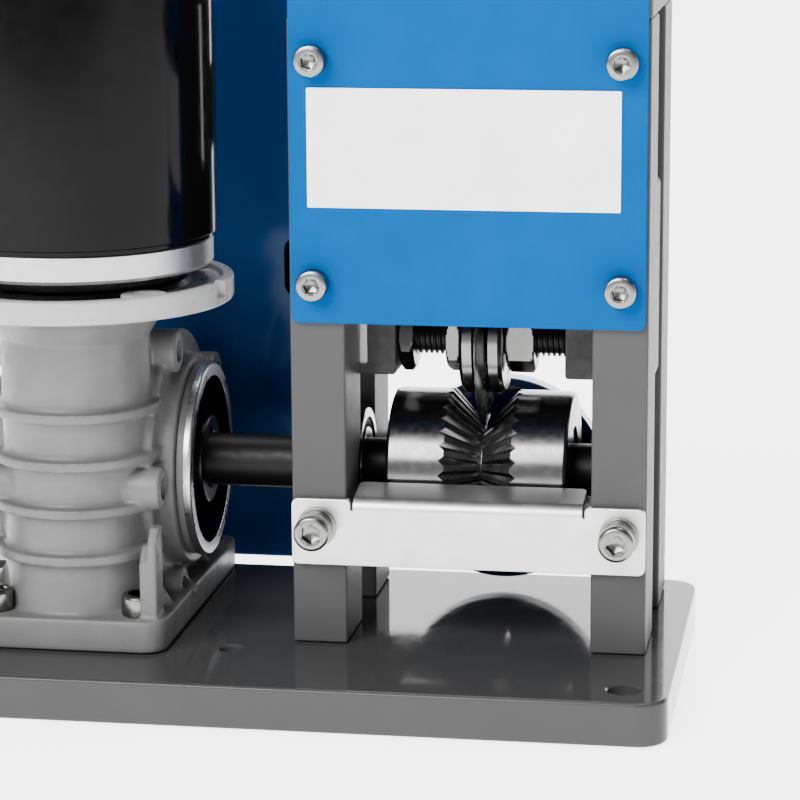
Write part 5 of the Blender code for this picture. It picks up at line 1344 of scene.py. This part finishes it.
class STRIPPER_OT_housing(bpy.types.Operator):
    """Builds the electrics housing, its lid and its brackets"""

    bl_idname = "stripper.housing"
    bl_label = "Electrics housing"

    def execute(self, context):
        low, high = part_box("rear_housing")
        outline = fillet(corners_of(low.x, high.x, low.z, high.z, 5 * MM), 8)
        tray = slab(outline, "Y", low.y, high.y, 1.2 * MM)
        wall = HOUSING_WALL
        inside = fillet(corners_of(low.x + wall, high.x - wall, low.z + wall, high.z - wall, 3.2 * MM), 6)
        hollow = prism(inside, "Y", low.y + wall, high.y + 3 * MM)
        right = high.x - WINDOW_INSET
        oblong = fillet(corners_of(right - WINDOW_WIDTH, right, WINDOW_LOW, WINDOW_HIGH, 3.5 * MM), 8)
        window = prism(oblong, "Y", low.y - 3 * MM, low.y + wall + MM)
        rock = middle("switch_frame")
        half = middle("switch_frame").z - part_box("switch_frame")[0].z - 2 * MM
        wide = rock.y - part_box("switch_frame")[0].y - 2 * MM
        socket = prism(corners_flat(rock.y - wide, rock.y + wide, rock.z - half, rock.z + half), "X",
                       high.x - 5 * MM, high.x + 3 * MM)
        bm = cut(tray, hollow, window, socket)
        finish_piece("gloss_electrics_housing", bm, FINISHES["housing"], "frame", "blue_paint",
                     "rear_housing")
        lid_low, lid_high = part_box("rear_lid")
        lid = slab(outline, "Y", lid_low.y, lid_high.y, 0.4 * MM)
        finish_piece("gloss_housing_lid", lid, FINISHES["housing"], "frame", "blue_paint", "rear_lid")
        for level in ("low", "high"):
            low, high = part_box(f"housing_bracket_{level}")
            corners = [(high.x, low.y, 0.0), (high.x, high.y, 4 * MM), (low.x, high.y, 0.0),
                       (low.x, high.y - 3 * MM, 0.0),
                       (high.x - 3 * MM, high.y - 3 * MM, 1.2 * MM), (high.x - 3 * MM, low.y, 0.0)]
            bracket = slab(fillet(corners, 6), "Z", low.z, high.z, 0.35 * MM)
            finish_piece(f"bent_housing_bracket_{level}", bracket, FINISHES["post"], "frame", "post_paint",
                         f"housing_bracket_{level}")
        return {"FINISHED"}


class STRIPPER_OT_switch(bpy.types.Operator):
    """Gives the rocker switch and its frame their plastic"""

    bl_idname = "stripper.switch"
    bl_label = "Rocker switch"

    def execute(self, context):
        for node in ("switch_frame", "switch_rocker"):
            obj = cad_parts[node]
            obj.data.materials.clear()
            obj.data.materials.append(FINISHES["switch"])
        return {"FINISHED"}


class STRIPPER_OT_stage(bpy.types.Operator):
    """Sets the pale floor, the soft lights and the camera"""

    bl_idname = "stripper.stage"
    bl_label = "Studio and camera"

    def execute(self, context):
        view = context.scene.stripper_view
        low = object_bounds()[0]
        made = Finish("pale_floor", (0.80, 0.80, 0.80), 0.6, emission_strength=view.floor_glow)
        made.shader.inputs["Emission Color"].default_value = (1, 1, 1, 1)
        made.vary_roughness(made.noise(6, 3), 0.55, 0.65)
        near, far, half_width, rise, bend, steps = -1.6, 1.2, 2.4, 0.9, 0.5, 16
        angles = [math.pi / 2 * k / steps for k in range(1, steps + 1)]
        sweep = [(near, 0.0), (far, 0.0)]
        sweep += [(far + bend * math.sin(a), bend - bend * math.cos(a)) for a in angles]
        sweep.append((far + bend, rise))
        bm = bmesh.new()
        rows = [[bm.verts.new((x, y, z + low.z - 0.2 * MM)) for y, z in sweep]
                for x in (-half_width, half_width)]
        for k in range(len(sweep) - 1):
            bm.faces.new((rows[0][k], rows[1][k], rows[1][k + 1], rows[0][k + 1]))
        mesh = bpy.data.meshes.new("floor")
        bm.to_mesh(mesh)
        bm.free()
        mesh.materials.append(made.material)
        mesh.shade_smooth()
        floor = bpy.data.objects.new("floor", mesh)
        context.scene.collection.objects.link(floor)
        floor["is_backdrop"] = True
        world = bpy.data.worlds.new("studio")
        world.use_nodes = True
        tree = world.node_tree
        place = tree.nodes.new("ShaderNodeTexCoord")
        split = tree.nodes.new("ShaderNodeSeparateXYZ")
        ramp = tree.nodes.new("ShaderNodeValToRGB")
        ramp.color_ramp.elements[0].position = 0.10
        ramp.color_ramp.elements[0].color = (1, 1, 1, 1)
        ramp.color_ramp.elements[1].position = 0.45
        ramp.color_ramp.elements[1].color = (0.10, 0.10, 0.105, 1)
        tree.links.new(place.outputs["Generated"], split.inputs["Vector"])
        tree.links.new(split.outputs["Z"], ramp.inputs["Fac"])
        tree.links.new(ramp.outputs["Color"], tree.nodes["Background"].inputs["Color"])
        tree.nodes["Background"].inputs["Strength"].default_value = view.sky
        context.scene.world = world
        aim = Vector((-0.02, 0.02, 0.08))
        lamps = (("key", (-0.55, -1.10, 0.95), (1.0, 0.7), view.key_power),
                 ("fill", (1.1, -0.6, 0.5), (0.5, 0.6), view.fill_power),
                 ("top", (0.1, 0.25, 1.2), (0.8, 0.5), view.top_power))
        for name, place, size, power in lamps:
            lamp = bpy.data.lights.new(name, "AREA")
            lamp.shape = "RECTANGLE"
            lamp.size, lamp.size_y = size
            lamp.energy = power
            obj = bpy.data.objects.new(name, lamp)
            obj.location = place
            obj.rotation_euler = (Vector(place) - aim).to_track_quat("Z", "Y").to_euler()
            context.scene.collection.objects.link(obj)
        level = math.cos(view.elevation)
        back = Vector((math.sin(view.azimuth) * level, -math.cos(view.azimuth) * level,
                       math.sin(view.elevation)))
        right = Vector((math.cos(view.azimuth), math.sin(view.azimuth), 0.0))
        up = back.cross(right)
        across = right * math.cos(view.roll) + up * math.sin(view.roll)
        upward = up * math.cos(view.roll) - right * math.sin(view.roll)
        camera = bpy.data.cameras.new("camera")
        camera.sensor_width = 36
        camera.lens = view.focal
        camera.clip_start, camera.clip_end = 0.01, 50
        obj = bpy.data.objects.new("camera", camera)
        turn = Matrix((across, upward, back)).transposed().to_4x4()
        obj.matrix_world = Matrix.Translation(Vector(view.target) + back * view.distance) @ turn
        context.scene.collection.objects.link(obj)
        context.scene.camera = obj
        return {"FINISHED"}


PIECES = (
    STRIPPER_OT_finishes, STRIPPER_OT_base_plate, STRIPPER_OT_frame_bars, STRIPPER_OT_cover,
    STRIPPER_OT_cap_screws, STRIPPER_OT_wire_rest, STRIPPER_OT_roller, STRIPPER_OT_shaft,
    STRIPPER_OT_blade, STRIPPER_OT_rod, STRIPPER_OT_carriage, STRIPPER_OT_lift, STRIPPER_OT_turret,
    STRIPPER_OT_gear_unit, STRIPPER_OT_motor, STRIPPER_OT_housing, STRIPPER_OT_switch,
    STRIPPER_OT_stage,
)


class STRIPPER_PT_pieces(bpy.types.Panel):
    """Lists the machine's pieces and its main sizes and colours"""

    bl_idname = "STRIPPER_PT_pieces"
    bl_label = "Wire Stripping Machine"
    bl_space_type = "VIEW_3D"
    bl_region_type = "UI"
    bl_category = "Wire Stripper"

    def draw(self, context):
        for piece in PIECES:
            self.layout.operator(piece.bl_idname)
        for group in (context.scene.stripper_colours, context.scene.stripper_sizes,
                      context.scene.stripper_view):
            box = self.layout.box()
            for name in group.bl_rna.properties.keys():
                if name not in ("rna_type", "name"):
                    box.prop(group, name)


GROUPS = {"stripper_colours": StripperColours, "stripper_sizes": StripperSizes,
          "stripper_view": StripperView}


def register():
    for made in (*GROUPS.values(), *PIECES, STRIPPER_PT_pieces):
        bpy.utils.register_class(made)
    for name, group in GROUPS.items():
        setattr(bpy.types.Scene, name, PointerProperty(type=group))


def unregister():
    for name in GROUPS:
        delattr(bpy.types.Scene, name)
    for made in reversed((*GROUPS.values(), *PIECES, STRIPPER_PT_pieces)):
        bpy.utils.unregister_class(made)


def main():
    register()
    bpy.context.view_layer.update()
    for piece in PIECES:
        group, call = piece.bl_idname.split(".")
        getattr(getattr(bpy.ops, group), call)()


if __name__ == "__main__":
    main()
